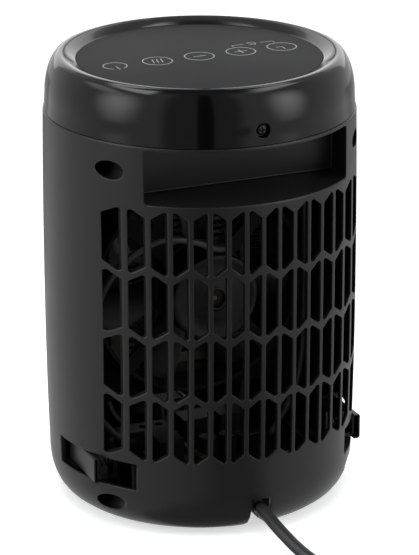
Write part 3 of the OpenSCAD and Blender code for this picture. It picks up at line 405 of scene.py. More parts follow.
# ---------------------------------------------------------------- the rear shell
# The back half of the body, moulded in satin black ABS 2.5 mm thick, with the air grille, the finger
# recess, four screw wells, the latch windows and the notch for the cord. Its openings are drawn in one pull
# towards the back, so their walls all run the same way, and every edge is broken by a small radius.
BODY_R, MID_R, LOW_R, SEAM_Y, WALL = 85.0, 86.0, 84.85, -22.0, 2.5
EDGE_IN, EDGE_UP, EDGE_POWER, EDGE_TOP, JOINT_H = 17.6, 27.3, 2.48, 28.5, 220.0
BELOW_IN, BELOW_H, ABOVE_IN, ABOVE_H, SWELL_POWER = 1.15, 86.5, 1.0, 105, 2.2
GRILLE_Z, BAR_PITCH, BAR_W, ROW_PITCH, BAND_H, ZIGZAG, ROWS, BAYS = 115, 9.43, 2.5, 35.45, 3.7, 7.4, 4, 16
RECESS_X, RECESS_LOW, RECESS_TOP, RECESS_BACK = 58, 189, 218, 45
WELLS = [(70.8, 205), (-70.8, 205), (70.8, 15.1), (-70.8, 15.1)]
WELL_R, WELL_FLOOR, WELL_OUT, WELL_COVER = 4.9, -10, 6.3, 1.4
SLOT_IN, SLOT_FRONT, SLOT_LOW, SLOT_TOP = 62, 3, 25.7, 41.0
NOTCH_X, NOTCH_Z = 5.5, 20.7
GRILLE_CORNER_R, RECESS_CORNER_R, RECESS_ROLL, EDGE_R, SKIN_STEP = 1.2, 1.6, 2.0, 0.6, (3.75, 4.0)


def body_line():
    """The body's half outline from the base plate to the joint under the cap."""
    points = []
    for i in range(49):
        a = math.radians(90 * (1 - i / 48) ** 1.3)
        points.append((LOW_R - EDGE_IN + EDGE_IN * max(math.cos(a), 0) ** (2 / EDGE_POWER),
                       EDGE_TOP - EDGE_UP * math.sin(a) ** (2 / EDGE_POWER)))
    for i in range(1, 97):
        z = EDGE_TOP + (JOINT_H - EDGE_TOP) * i / 96
        inwards, reach = (BELOW_IN, BELOW_H) if z < GRILLE_Z else (ABOVE_IN, ABOVE_H)
        points.append((MID_R - inwards * (abs(z - GRILLE_Z) / reach) ** SWELL_POWER, z))
    return points


class Line:
    """A half outline with the way along it, and its outward normal at each place."""

    def __init__(self, points):
        p = np.array(points, float)
        self.s = np.concatenate([[0], np.cumsum(np.hypot(*np.diff(p, axis=0).T))])
        self.r, self.z = p[:, 0], p[:, 1]
        t = np.gradient(p, self.s, axis=0)
        t /= np.linalg.norm(t, axis=1)[:, None]
        self.nr, self.nz = t[:, 1], -t[:, 0]
        self.length = self.s[-1]

    def at(self, s):
        return [np.interp(s, self.s, v) for v in (self.r, self.z, self.nr, self.nz)]

    def s_of(self, z):
        return np.interp(z, self.z, self.s)

    def r_of(self, z):
        return np.interp(z, self.z, self.r)

    def spot(self, phi, s, depth=0.0):
        r, z, nr, nz = self.at(s)
        q = r - depth * nr
        return np.stack([q * np.sin(phi), q * np.cos(phi), z - depth * nz], -1)

    def normal(self, phi, s):
        nr, nz = self.at(s)[2:]
        return np.stack([nr * np.sin(phi), nr * np.cos(phi), nz], -1)


def rounded_outline(corners, r, step=4.0, arc=3):
    """Points round a convex outline with rounded corners, each with its way into the wall."""
    c = np.array(corners, float)
    if np.sum(c[:, 0] * np.roll(c[:, 1], -1) - np.roll(c[:, 0], -1) * c[:, 1]) < 0:
        c = c[::-1]
    n = len(c)
    edge = np.roll(c, -1, 0) - c
    edge /= np.linalg.norm(edge, axis=1)[:, None]
    out = np.stack([edge[:, 1], -edge[:, 0]], -1)
    points, ways = [], []
    for i in range(n):
        a, b = out[i - 1], out[i]
        half = math.acos(np.clip(np.dot(a, b), -1, 1)) / 2
        middle = c[i] - (a + b) / np.linalg.norm(a + b) * (r / math.cos(half))
        t0 = math.atan2(a[1], a[0])
        for k in range(arc + 1):
            t = t0 + 2 * half * k / arc
            d = np.array([math.cos(t), math.sin(t)])
            points.append(middle + r * d)
            ways.append(d)
        j = (i + 1) % n
        b2 = out[j]
        half2 = math.acos(np.clip(np.dot(b, b2), -1, 1)) / 2
        nxt = c[j] - (b + b2) / np.linalg.norm(b + b2) * (r / math.cos(half2)) + r * b
        start = points[-1]
        k = int(np.linalg.norm(nxt - start) // step)
        for q in range(1, k + 1):
            points.append(start + (nxt - start) * q / (k + 1))
            ways.append(b)
    return np.array(points), np.array(ways)


class Opening:
    """A hole or pocket whose walls run straight back, given by its outline in width and height."""

    def __init__(self, line, points, ways, back=None, cover=0.0, roll=1.0):
        self.line, self.p, self.d, self.back, self.cover = line, points, ways, back, cover
        self.grow = 1 + (roll - 1) * np.maximum(-ways[:, 1], 0)

    def ring(self, off, depth):
        x = self.p[:, 0] + self.d[:, 0] * off * self.grow
        z = self.p[:, 1] + self.d[:, 1] * off * self.grow
        r = self.line.r_of(z) - depth
        phi = np.arcsin(np.clip(x / r, -1, 1))
        return phi, self.line.s_of(z), np.stack([x, r * np.cos(phi), z], -1)

    def wall(self):
        return np.stack([-self.d[:, 0], 0 * self.d[:, 0], -self.d[:, 1]], -1)

    def open_edges(self):
        return None

    def flat(self, y, off):
        return np.stack([self.p[:, 0] + self.d[:, 0] * off, 0 * self.p[:, 0] + y,
                         self.p[:, 1] + self.d[:, 1] * off], -1)


class Window(Opening):
    """An opening round the side of the body, between a plane across and a plane along, as for a latch."""
    level, upright = 13, 6

    def __init__(self, line, side):
        self.line, self.side, self.back, self.cover = line, side, None, 0.0

    def ring(self, off, depth):
        low, top, n, m = SLOT_LOW - off, SLOT_TOP + off, self.level, self.upright
        zs = np.concatenate([np.full(n, low), np.linspace(low, top, m + 2)[1:-1], np.full(n, top),
                             np.linspace(top, low, m + 2)[1:-1]])
        r = self.line.r_of(zs) - depth
        a = np.arcsin((SLOT_IN - off) / r)
        b = np.arccos((SLOT_FRONT - off) / r)
        f = np.concatenate([np.linspace(0, 1, n), np.ones(m), np.linspace(1, 0, n), np.zeros(m)])
        phi = (a + (b - a) * f) * self.side
        if self.side < 0:
            phi, zs, r = phi[::-1], zs[::-1], r[::-1]
        return phi, self.line.s_of(zs), np.stack([r * np.sin(phi), r * np.cos(phi), zs], -1)

    def wall(self):
        n, m, k = self.level, self.upright, self.side
        w = np.concatenate([np.tile([0, 0, 1.0], (n, 1)), np.tile([0, 1.0, 0], (m, 1)),
                            np.tile([0, 0, -1.0], (n, 1)), np.tile([1.0 * k, 0, 0], (m, 1))])
        for i, j in ((0, -1), (n - 1, n), (n + m, n + m - 1), (2 * n + m - 1, 2 * n + m)):
            w[i] = w[i] + w[j]
        w /= np.linalg.norm(w, axis=1)[:, None]
        return w[::-1] if k < 0 else w


class Rim(Opening):
    """The outer edge of a shell: along the foot, up one seam, along the top and down the other."""
    top_roll, turns, beside, notch_up, notch_over, foot_off = 1.8, 81, 37, 6, 5, 0.3

    def __init__(self, line, seam, notch=None, step=3.6):
        self.line, self.seam, self.notch, self.back, self.cover = line, seam, notch, None, 0.0
        self.rows = int(line.length / step)
        self.foot = 2 * (self.beside + self.notch_up) + self.notch_over if notch else self.turns

    def ring(self, off, depth):
        lo, hi = min(off, self.foot_off), self.line.length - self.top_roll * off
        s_up = np.linspace(lo, hi, self.rows)

        def edge(s):
            if self.seam is None:
                return np.full(np.shape(s), math.pi)
            r, nr = self.line.at(s)[::2]
            return np.arccos(np.clip((self.seam + off) / (r - depth * nr), -1, 1))

        n, turn = self.turns, np.linspace(-1, 1, self.turns)
        foot_phi, foot_s = turn * edge(np.full(n, lo)), np.full(n, lo)
        if self.notch:
            half, top = self.notch[0] + off, self.line.s_of(self.notch[1] + off)
            side_s = np.linspace(lo, top, self.notch_up)
            r, nr = self.line.at(side_s)[::2]
            side_phi = np.arcsin(half / (r - depth * nr))
            over = np.linspace(-1, 1, self.notch_over + 2)[1:-1] * side_phi[-1]
            low_s = np.full(self.beside, lo)
            foot_phi = np.concatenate([
                np.linspace(foot_phi[0], -side_phi[0], self.beside + 1)[:-1], -side_phi, over,
                side_phi[::-1], np.linspace(side_phi[0], foot_phi[-1], self.beside + 1)[1:]])
            foot_s = np.concatenate([low_s, side_s, np.full(self.notch_over, top), side_s[::-1], low_s])
        up = edge(s_up)
        phi = np.concatenate([foot_phi, up[1:-1], turn[::-1] * edge(np.full(n, hi)), -up[::-1][1:-1]])
        s = np.concatenate([foot_s, s_up[1:-1], np.full(n, hi), s_up[::-1][1:-1]])
        return phi, s, self.line.spot(phi, s, depth)

    def wall(self):
        phi = self.ring(0, 0)[0]
        foot, rows = self.foot, self.rows - 2
        w = np.zeros((len(phi), 3))
        w[:, 1] = -1
        w[:foot, 0], w[:foot, 1] = -np.sin(phi[:foot]), -np.cos(phi[:foot])
        if self.notch:
            a, b = self.beside + self.notch_up, self.beside + self.notch_up + self.notch_over
            w[self.beside:a] = (1, 0, 0)
            w[a:b] = (0, 0, -1)
            w[b:b + self.notch_up] = (-1, 0, 0)
            w[a - 1], w[b] = (0.7071, 0, -0.7071), (-0.7071, 0, -0.7071)
        w[foot + rows:foot + rows + self.turns] = (0, 0, 1)
        return w

    def open_edges(self):
        """Which edges get a wall: all of them, but for the two that close a full ring."""
        up = self.foot + self.rows - 2
        keep = np.ones(up + self.rows - 2 + self.turns, bool)
        if self.seam is None:
            keep[self.foot - 1:up] = False
            keep[up + self.turns - 1:] = False
        return keep


def inside(points, outline):
    """Which of the flat points lie inside a closed outline."""
    x, y = points[:, 0][:, None], points[:, 1][:, None]
    a, b = outline, np.roll(outline, -1, 0)
    cross = (a[:, 1] > y) != (b[:, 1] > y)
    with np.errstate(divide="ignore", invalid="ignore"):
        at = a[:, 0] + (y - a[:, 1]) / (b[:, 1] - a[:, 1]) * (b[:, 0] - a[:, 0])
    return (np.sum(cross & (x < at), 1) % 2) == 1


CLEAR = 1.2


def fill(rim, holes, step):
    """Triangles over a flat region with holes, whose first points are those of its outlines."""
    loops = [rim] + holes
    outline = np.concatenate(loops)
    lo, hi = rim.min(0), rim.max(0)
    nx, ny = int((hi[0] - lo[0]) / step[0]), int((hi[1] - lo[1]) / step[1])
    gx, gy = np.meshgrid(np.linspace(lo[0], hi[0], nx + 1)[1:-1], np.linspace(lo[1], hi[1], ny + 1)[1:-1])
    grid = np.stack([gx.ravel(), gy.ravel()], -1)
    keep = inside(grid, rim)
    for h in holes:
        box = np.all((grid > h.min(0) - CLEAR) & (grid < h.max(0) + CLEAR), 1)
        if box.any():
            middle = h.mean(0)
            away = h - middle
            grown = middle + away * (1 + 1.3 / np.maximum(np.linalg.norm(away, axis=1), 1))[:, None]
            keep[box] &= ~inside(grid[box], grown)
    grid = grid[keep]
    clear = [np.abs(p - rim).max(-1).min() > CLEAR for p in grid]
    points = np.concatenate([outline, grid[np.array(clear, bool)]])
    edges, at = [], 0
    for loop in loops:
        n = len(loop)
        edges += [(at + i, at + (i + 1) % n) for i in range(n)]
        at += n
    found = delaunay_2d_cdt([Vector(p) for p in points], edges, [], 0, 1e-5)
    back = [o[0] if o else -1 for o in found[3]]
    tri = np.array([[back[i] for i in t] for t in found[2] if min(back[i] for i in t) >= 0])
    middle = points[tri].mean(1)
    good = inside(middle, rim)
    for h in holes:
        box = np.all((middle > h.min(0)) & (middle < h.max(0)), 1)
        good[np.where(box)[0][inside(middle[box], h)]] = False
    return points, tri[good], len(outline)


class Moulding:
    """Gathers the faces of one moulded part, with the normal wanted at each of their corners."""

    def __init__(self):
        self.points, self.faces, self.normals = [], [], []

    def add(self, points):
        at = sum(len(p) for p in self.points)
        self.points.append(np.asarray(points, float))
        return np.arange(at, at + len(points))

    def face(self, ids, normals):
        self.faces.append([int(i) for i in ids])
        self.normals.append(np.asarray(normals, float))

    def strip(self, a, b, na, nb, keep=None):
        n = len(a)
        for i in range(n):
            if keep is None or keep[i]:
                j = (i + 1) % n
                self.face([a[i], a[j], b[j], b[i]], [na[i], na[j], nb[j], nb[i]])

    def skin(self, line, rim, openings, step=SKIN_STEP, edge=EDGE_R, thick=WALL, turn=1, rounds=3, soft=0.8):
        """The outer and inner face of a wall, the rounded edges of its openings, and their walls between."""
        flip, back_y = np.array([turn, turn, 1.0]), np.array([0, 1, 0])
        every, outer, inner = [rim] + openings, {}, {}
        for depth, sign, kept in ((0.0, 1, outer), (thick, -1, inner)):
            rings, flats = [], []
            for o in every:
                phi, s, p = o.ring(edge if sign > 0 else o.cover, depth)
                rings.append((p, line.normal(phi, s) * sign))
                flats.append(np.stack([phi * BODY_R, s], -1))
            flat, tri, n_edge = fill(flats[0], flats[1:], step)
            phi, s = flat[:, 0] / BODY_R, flat[:, 1]
            p = line.spot(phi, s, depth)
            p[:n_edge] = np.concatenate([r[0] for r in rings])
            normals = line.normal(phi, s) * sign
            ids = self.add(p * flip)
            for t in tri:
                self.face(ids[t], normals[t] * flip)
            at = 0
            for o, (ring, norm) in zip(every, rings):
                kept[o] = ids[at:at + len(ring)], norm
                at += len(ring)
        for o in every:
            keep, wall = o.open_edges(), o.wall()
            prev, prev_n = outer[o]
            for k in range(1, rounds + 1):
                a = math.pi / 2 * k / rounds
                phi, s, p = o.ring(edge * (1 - math.sin(a)), edge * (1 - math.cos(a)))
                n = line.normal(phi, s) * math.cos(a) + wall * math.sin(a)
                n /= np.linalg.norm(n, axis=1)[:, None]
                ids = self.add(p * flip)
                self.strip(prev, ids, prev_n * flip, n * flip, keep)
                prev, prev_n = ids, n
            back = inner[o][0]
            if o.back is None:
                self.strip(prev, back, wall * flip, wall * flip, keep)
                continue
            base, base_n = prev, wall
            for k in range(rounds + 1):
                a = math.pi / 2 * k / rounds
                p = o.flat(o.back + soft * (1 - math.sin(a)), -soft * (1 - math.cos(a)))
                n = wall * math.cos(a) + back_y * math.sin(a)
                ids = self.add(p * flip)
                self.strip(base, ids, base_n * flip, n * flip, keep)
                base, base_n = ids, n
            self.face(base, np.tile(back_y * flip, (len(base), 1)))
            ids = self.add(o.flat(o.back - o.cover, o.cover) * flip)
            self.strip(back, ids, -wall * flip, -wall * flip, keep)
            self.face(ids, np.tile(-back_y * flip, (len(ids), 1)))

    def done(self, name, material, weld=1e-4):
        """One mesh of all the faces, with points that share a place made one."""
        p = np.concatenate(self.points)
        key = np.round(p / weld).astype(np.int64)
        first, back = np.unique(key, axis=0, return_index=True, return_inverse=True)[1:]
        back, p = back.ravel(), p[first]
        faces, corner = [], []
        for ids, normals in zip(self.faces, self.normals):
            ids = back[ids]
            keep = [i for i in range(len(ids)) if ids[i] != ids[i - 1]]
            ids, normals = ids[keep], normals[keep]
            if len(ids) < 3 or len(set(ids)) < 3:
                continue
            q = p[ids]
            area = np.zeros(3)
            for i in range(len(ids)):
                area += np.cross(q[i] - q[0], q[(i + 1) % len(ids)] - q[0])
            if np.dot(area, normals.mean(0)) < 0:
                ids, normals = ids[::-1], normals[::-1]
            faces.append(ids.tolist())
            corner.append(normals)
        mesh = bpy.data.meshes.new(name)
        mesh.from_pydata((p * MM).tolist(), [], faces)
        mesh.shade_smooth()
        mesh.normals_split_custom_set(np.concatenate(corner).tolist())
        mesh.materials.append(material)
        return placed(name, mesh)


def zig_height(row, k):
    return GRILLE_Z + (ROWS / 2 - row) * ROW_PITCH + ZIGZAG / 2 * (-1 if (k + row) % 2 == 0 else 1)


def grille_outlines():
    """The tall six-sided air openings, each the half of a hexagon beside its upright bar."""
    f = BAR_W / 2 / BAR_PITCH
    for row in range(ROWS):
        for k in range(BAYS):
            x0 = (k - BAYS / 2) * BAR_PITCH + BAR_W / 2
            x1 = (k + 1 - BAYS / 2) * BAR_PITCH - BAR_W / 2

            def height(r, share):
                return zig_height(r, k) * (1 - share) + zig_height(r, k + 1) * share

            yield [(x0, height(row, f) - BAND_H / 2), (x0, height(row + 1, f) + BAND_H / 2),
                   (x1, height(row + 1, 1 - f) + BAND_H / 2), (x1, height(row, 1 - f) - BAND_H / 2)]


def round_outline(x, z, r, n=32):
    a = np.linspace(0, 2 * math.pi, n, endpoint=False)
    d = np.stack([np.cos(a), np.sin(a)], -1)
    return np.array([x, z]) + r * d, d


shell_satin = moulded("shell_satin_black", (0.0070, 0.0070, 0.0072), 0.36, grain=0.0006, depth=0.000014,
                      wear=0.05, gloss=0.28)


def rear_shell():
    line = Line(body_line())
    openings = [Opening(line, *rounded_outline(c, GRILLE_CORNER_R)) for c in grille_outlines()]
    recess = [(-RECESS_X, RECESS_LOW), (RECESS_X, RECESS_LOW),
              (RECESS_X, RECESS_TOP), (-RECESS_X, RECESS_TOP)]
    openings.append(Opening(line, *rounded_outline(recess, RECESS_CORNER_R), back=RECESS_BACK, cover=1.6,
                            roll=RECESS_ROLL))
    for x, z in WELLS:
        openings.append(Opening(line, *round_outline(x, z, WELL_R), back=WELL_FLOOR, cover=WELL_COVER))
    openings += [Window(line, 1), Window(line, -1)]
    part = Moulding()
    part.skin(line, Rim(line, SEAM_Y, notch=(NOTCH_X, NOTCH_Z)), openings)
    return part.done("rear_shell_skin", shell_satin)


stand_for(rear_shell(), "rear_shell", "shell_satin")

# ---------------------------------------------------------------- the front shell
# The other half of the body, from the same satin black ABS. The warm air leaves through one large opening
# with well rounded corners, and four screws from the back hold the halves together.
FRONT_SEAM, OUTLET_X, OUTLET_H, OUTLET_CORNER = 22.0, 50, 146, 12


def front_shell():
    line = Line(body_line())
    low, top = GRILLE_Z - OUTLET_H / 2, GRILLE_Z + OUTLET_H / 2
    corners = [(-OUTLET_X, low), (OUTLET_X, low), (OUTLET_X, top), (-OUTLET_X, top)]
    outlet = Opening(line, *rounded_outline(corners, OUTLET_CORNER, step=3.6, arc=9))
    part = Moulding()
    part.skin(line, Rim(line, FRONT_SEAM), [outlet], turn=-1)
    return part.done("front_shell_skin", shell_satin)


stand_for(front_shell(), "front_shell", "shell_satin")

# ---------------------------------------------------------------- the cap
# A domed ring in the same black ABS, but polished, that drops over the joint and dishes down to the touch
# panel. One screw in a small round well at the back holds it.
CAP_LOW, CAP_R, CAP_SIDE_R, CAP_SIDE_Z, RIM_R, TOP_Z, CAP_POWER = 220.2, 84.5, 83.9, 228.5, 75.1, 250.0, 1.88
PANEL_R, PANEL_Z, PANEL_T, CAP_SCREW_Z, CAP_WELL_R, SLOPE_POWER = 66.5, 246.7, 2.0, 228, 4.0, 1.35
CAP_STEP, CAP_EDGE, CAP_WALL = (4.2, 2.0), 0.35, 2.2


def cap_line():
    points = [(CAP_R, CAP_LOW), (CAP_R - 0.15, CAP_LOW + 2), (CAP_SIDE_R + 0.1, CAP_SIDE_Z - 2.5)]
    for i in range(41):
        a = math.pi / 2 * i / 40
        points.append((RIM_R + (CAP_SIDE_R - RIM_R) * math.cos(a) ** (2 / CAP_POWER),
                       CAP_SIDE_Z + (TOP_Z - CAP_SIDE_Z) * math.sin(a) ** (2 / CAP_POWER)))
    points[3 + 40] = (RIM_R, TOP_Z)
    for i in range(1, 15):
        t = i / 14
        points.append((RIM_R - (RIM_R - PANEL_R - 0.12) * t, TOP_Z - (TOP_Z - PANEL_Z) * t ** SLOPE_POWER))
    return points


cap_gloss = moulded("cap_gloss_black", (0.0020, 0.0020, 0.0021), 0.11, grain=0.004, depth=0.000004, wear=0.06,
                    gloss=0.27)


def top_cap():
    line = Line(cap_line())
    side = Line(cap_line()[:40])
    well = Opening(side, *round_outline(0, CAP_SCREW_Z, CAP_WELL_R, 28), back=CAP_SIDE_R - 3.4, cover=1.5)
    part = Moulding()
    part.skin(line, Rim(line, None), [well], CAP_STEP, CAP_EDGE, CAP_WALL)
    return part.done("cap_skin", cap_gloss)


stand_for(top_cap(), "top_cap", "cap_gloss")

# ---------------------------------------------------------------- the touch panel
# A flat disc of smoked acrylic, 2 mm thick, glued into the cap's ledge. Its five key marks are screen
# printed in light grey: power, heat, minus, plus and timer, with a bracket and a small lock for the key lock.
KEY_PITCH, RING_R, POWER_R, LOCK_Y, INK_LOW, INK_TOP = 24.4, 8, 6.4, -12.6, -0.02, 0.03


def solid(name, verts, faces, sharp=None, merge=0.0):
    """A mesh from points in millimetres, faces outwards: smooth but for the edges sharper than the angle."""
    mesh = bpy.data.meshes.new(name)
    mesh.from_pydata((np.array(verts, float) * MM).tolist(), [], faces)
    bm = bmesh.new()
    bm.from_mesh(mesh)
    if merge:
        bmesh.ops.remove_doubles(bm, verts=bm.verts, dist=merge)
    bmesh.ops.recalc_face_normals(bm, faces=bm.faces)
    bm.to_mesh(mesh)
    bm.free()
    if sharp:
        mesh.shade_smooth()
        mesh.set_sharp_from_angle(angle=math.radians(sharp))
    return mesh


def finished(mesh, material):
    mesh.materials.clear()
    mesh.materials.append(material)
    return placed(mesh.name, mesh)


def turned(name, outline, material, at=(0, 0, 0), axis="Z", steps=96, sharp=34):
    """A turned or round moulded part from its closed half outline of radius and height."""
    verts, ring, faces = [], [], []
    for r, h in outline:
        count = 1 if r < 1e-6 else steps
        ring.append([len(verts) + k % count for k in range(steps)])
        verts += [(r * math.cos(2 * math.pi * k / steps), r * math.sin(2 * math.pi * k / steps), h)
                  for k in range(count)] if count > 1 else [(0, 0, h)]
    for a, b in zip(ring, ring[1:] + ring[:1]):
        for k in range(steps if a[0] != a[1] or b[0] != b[1] else 0):
            j = (k + 1) % steps
            faces.append(list(dict.fromkeys((a[k], a[j], b[j], b[k]))))
    v = np.array(verts, float)
    if axis == "Y":
        v = v[:, [0, 2, 1]] * np.array([1, 1, -1])
    return finished(solid(name, v + np.array(at), faces, sharp, 1e-7), material)


panel_acrylic = moulded("panel_smoked_acrylic", (0.030, 0.030, 0.031), 0.5, grain=0.0015, depth=0.000004,
                        wear=0.05, gloss=0.012)
key_print = moulded("key_print_grey", (0.27, 0.27, 0.265), 0.6, grain=0.0006, depth=0.000006)


def touch_panel():
    b = 0.3
    outline = [(0, PANEL_Z - PANEL_T + 0.1), (PANEL_R, PANEL_Z - PANEL_T + 0.1), (PANEL_R, PANEL_Z - b)]
    outline += [(PANEL_R - b + b * math.cos(a), PANEL_Z - b + b * math.sin(a))
                for a in (math.pi / 8, math.pi / 4, math.pi * 3 / 8)]
    outline += [(PANEL_R - b, PANEL_Z), (0, PANEL_Z)]
    return turned("touch_panel_disc", outline, panel_acrylic, steps=144, sharp=60)


def key_marks():
    """Printed strokes, each a flat ribbon with its own thickness of ink."""
    verts, faces = [], []
    low, top = PANEL_Z + INK_LOW, PANEL_Z + INK_TOP

    def stroke(points, width=0.62, closed=False):
        p = [Vector(q).to_2d() for q in points]
        n, base = len(p), len(verts)
        for i in range(n):
            a = p[i - 1] if closed or i else p[i]
            b = p[(i + 1) % n] if closed or i < n - 1 else p[i]
            t = (b - a).normalized()
            side = Vector((-t.y, t.x)) * width / 2
            for q in (p[i] + side, p[i] - side):
                verts.append((q.x, q.y, low))
                verts.append((q.x, q.y, top))
        for i in range(n if closed else n - 1):
            a, b = base + 4 * i, base + 4 * ((i + 1) % n)
            faces.append((a + 1, a + 3, b + 3, b + 1))
            faces.append((a, b, b + 2, a + 2))
            faces.append((a, a + 1, b + 1, b))
            faces.append((a + 2, b + 2, b + 3, a + 3))
        if not closed:
            for a in (base, base + 4 * (n - 1)):
                faces.append((a, a + 2, a + 3, a + 1))

    def ring(x, y, r, a0=0, a1=360, width=0.62):
        steps = max(8, int((a1 - a0) / 6))
        whole = a1 - a0 >= 360
        points = [(x + r * math.cos(math.radians(a0 + (a1 - a0) * i / steps)),
                   y + r * math.sin(math.radians(a0 + (a1 - a0) * i / steps)))
                  for i in range(steps + (0 if whole else 1))]
        stroke(points, width, whole)

    x = 2 * KEY_PITCH
    ring(x, 0, POWER_R, 118, 422)
    stroke([(x, 1.6), (x, 7.6)])
    x = KEY_PITCH
    ring(x, 0, RING_R)
    for i in (-1, 0, 1):
        stroke([(x + 2.5 * i - 0.9, -3.6), (x + 2.5 * i - 0.1, -1.2), (x + 2.5 * i + 0.1, 1.2),
                (x + 2.5 * i + 0.9, 3.6)], 0.6)
    ring(0, 0, RING_R)
    stroke([(-3.6, 0), (3.6, 0)], 0.8)
    x = -KEY_PITCH
    ring(x, 0, RING_R)
    stroke([(x - 3.6, 0), (x + 3.6, 0)], 0.7)
    stroke([(x, -3.6), (x, -0.36)], 0.7)
    stroke([(x, 0.36), (x, 3.6)], 0.7)
    x = -2 * KEY_PITCH
    ring(x, 0, RING_R)
    stroke([(x, 4.6), (x, 0), (x + 3.4, 0)], 0.65)
    y = LOCK_Y
    for x, way in ((-KEY_PITCH, -7.2), (-2 * KEY_PITCH, 7.2)):
        stroke([(x, -9.6), (x, y), (x + way, y)], 0.55)
    x = -1.5 * KEY_PITCH
    stroke([(x - 2.1, y - 2.2), (x + 2.1, y - 2.2), (x + 2.1, y + 0.8), (x - 2.1, y + 0.8)], 0.55, True)
    stroke([(x - 1.3, y + 1.1), (x - 1.3, y + 2.2), (x - 0.6, y + 2.9), (x + 0.6, y + 2.9),
            (x + 1.3, y + 2.2), (x + 1.3, y + 1.1)], 0.45)
    return finished(solid("key_marks", verts, faces, 34, 1e-7), key_print)


stand_for(touch_panel(), "touch_panel", "panel_dark")
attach(key_marks(), "housing")

# ---------------------------------------------------------------- the side latches
# Two finger latches low on the sides, moulded in the same satin black. Each swings on a steel pin at its
# front end, and a small coil spring behind its plate pushes it back out when the finger lets go.
LATCH_X, LATCH_T, LATCH_END, LATCH_Z, LATCH_H = 80.0, 3.5, 40.7, 26.1, 14.5
PIVOT_X, PIVOT_Y, LEAD_FROM, LATCH_WALL, NOSE_R = 75.5, 7.5, 3.6, 0.8, 1.5
DEEP_POCKET, SHALLOW_POCKET = 9.0, 2.2


def baked(work, *tools):
    """The mesh that a working object ends up with once its modifiers have run."""
    bpy.context.view_layer.update()
    deps = bpy.context.evaluated_depsgraph_get()
    made = bpy.data.meshes.new_from_object(work.evaluated_get(deps), depsgraph=deps)
    for obj in (work, *tools):
        bpy.data.objects.remove(obj)
    return made


def eased(node, name, width, material, slot, body="housing", segments=2, mesh=None):
    """A copy of a CAD solid with its hard edges broken.

    The width is the most an edge gets. Short edges beside it narrow it over the whole piece, down to next to
    nothing on the fan's shroud and on the front bosses.
    """
    mesh = mesh or nodes[node].data.copy()
    bm = bmesh.new()
    bm.from_mesh(mesh)
    bmesh.ops.remove_doubles(bm, verts=bm.verts, dist=2e-6)
    bmesh.ops.dissolve_limit(bm, angle_limit=math.radians(1), verts=bm.verts, edges=bm.edges)
    bm.to_mesh(mesh)
    bm.free()
    if "custom_normal" in mesh.attributes:
        mesh.attributes.remove(mesh.attributes["custom_normal"])
    mesh.shade_smooth()
    work = finished(mesh, material)
    ease_edges = work.modifiers.new("ease", "BEVEL")
    ease_edges.width, ease_edges.segments = width * MM, segments
    ease_edges.limit_method, ease_edges.angle_limit = "ANGLE", math.radians(35)
    ease_edges.use_clamp_overlap = ease_edges.harden_normals = True
    made = baked(work)
    made.name = name
    piece = placed(name, made)
    stand_for(piece, node, slot, body)
    return piece


def prism(section, y0, y1):
    """A closed bar along the body's depth, from its outline in width and height, in millimetres."""
    n = len(section)
    verts = [(x, y, z) for y in (y0, y1) for x, z in section]
    faces = [(k, n + k, n + (k + 1) % n, (k + 1) % n) for k in range(n)]
    return solid("prism", verts, faces + [tuple(range(n)), tuple(reversed(range(n, 2 * n)))])


def box_section(s, x0, x1, z0, z1):
    return [(s * x0, z0), (s * x1, z0), (s * x1, z1), (s * x0, z1)]


def carved(mesh, steps):
    """A mesh after other solids have been joined to it, cut from it or met with it, one after the other."""
    work, tools = placed("carved_work", mesh), []
    for kind, shape in steps:
        tools.append(placed("carved_tool", shape))
        step = work.modifiers.new(kind, "BOOLEAN")
        step.operation, step.solver, step.object = kind, "EXACT", tools[-1]
    return baked(work, *tools)


def latch_shape(s, name):
    """The finger plate: hollow at its free end, round along its outer edges, and closed over its pivot."""
    low, top, lead, wall, nose = LATCH_Z, LATCH_Z + LATCH_H, LEAD_FROM, LATCH_WALL, NOSE_R
    back = LATCH_X - LATCH_T
    steps = [("UNION", prism(box_section(s, back + 1.1, LATCH_X, low, top), lead, PIVOT_Y + 0.4))]
    for z, up in ((top, 1), (low, -1)):
        arc = [(LATCH_X - nose + nose * math.sin(a), z - up * (nose - nose * math.cos(a)))
               for a in (math.pi / 2 * k / 5 for k in range(6))]
        corner = arc + [(LATCH_X + 1, z - up * nose), (LATCH_X + 1, z + up), (LATCH_X - nose, z + up)]
        steps.append(("DIFFERENCE", prism([(s * x, h) for x, h in corner], lead - 1, LATCH_END + 1)))
    for inner, start in ((back + wall, LATCH_END - DEEP_POCKET), (back - 1.5, LATCH_END - SHALLOW_POCKET)):
        steps.append(("DIFFERENCE", prism(box_section(s, inner, LATCH_X - wall, low + wall, top - wall),
                                          start, LATCH_END + 1)))
    spring_seat = box_section(s, LATCH_X - 12, back - 0.1, low + 2.5, top - 2.5)
    steps.append(("DIFFERENCE", prism(spring_seat, 33, 38)))
    return carved(nodes[name].data.copy(), steps)


latch_satin = moulded("latch_satin_black", (0.0070, 0.0070, 0.0072), 0.36, grain=0.0006, depth=0.00001,
                      wear=0.06, gloss=0.2)
for s, side_name in ((1, "right"), (-1, "left")):
    latch = side_name + "_latch"
    eased(latch, latch + "_shell", 0.3, latch_satin, "latch_black", latch + "_body", segments=3,
          mesh=latch_shape(s, latch))

# ---------------------------------------------------------------- the mounts inside the shells
# Lugs that hold the latch pins, a post behind each latch spring, a wall by each latch window, the tab for the
# cap's screw and the pillars for the four long screws. All are moulded in one with the shells.
PIN_HOLE, SCREW_HOLE, BOSS_HOLE, LUG_T, LUG_FRONT, POST_X, POST_T = 1.52, 2.2, 2.02, 2.5, 1, 63.0, 2.5
BOSS_R, BOSS_FRONT, BOSS_BACK, PAST_WALL = 5, -46, -24.1, 90
TAB_X, TAB_LOW, TAB_TOP, TAB_FRONT, TAB_BACK = 6, 218.6, 234, 73.5, 79.2


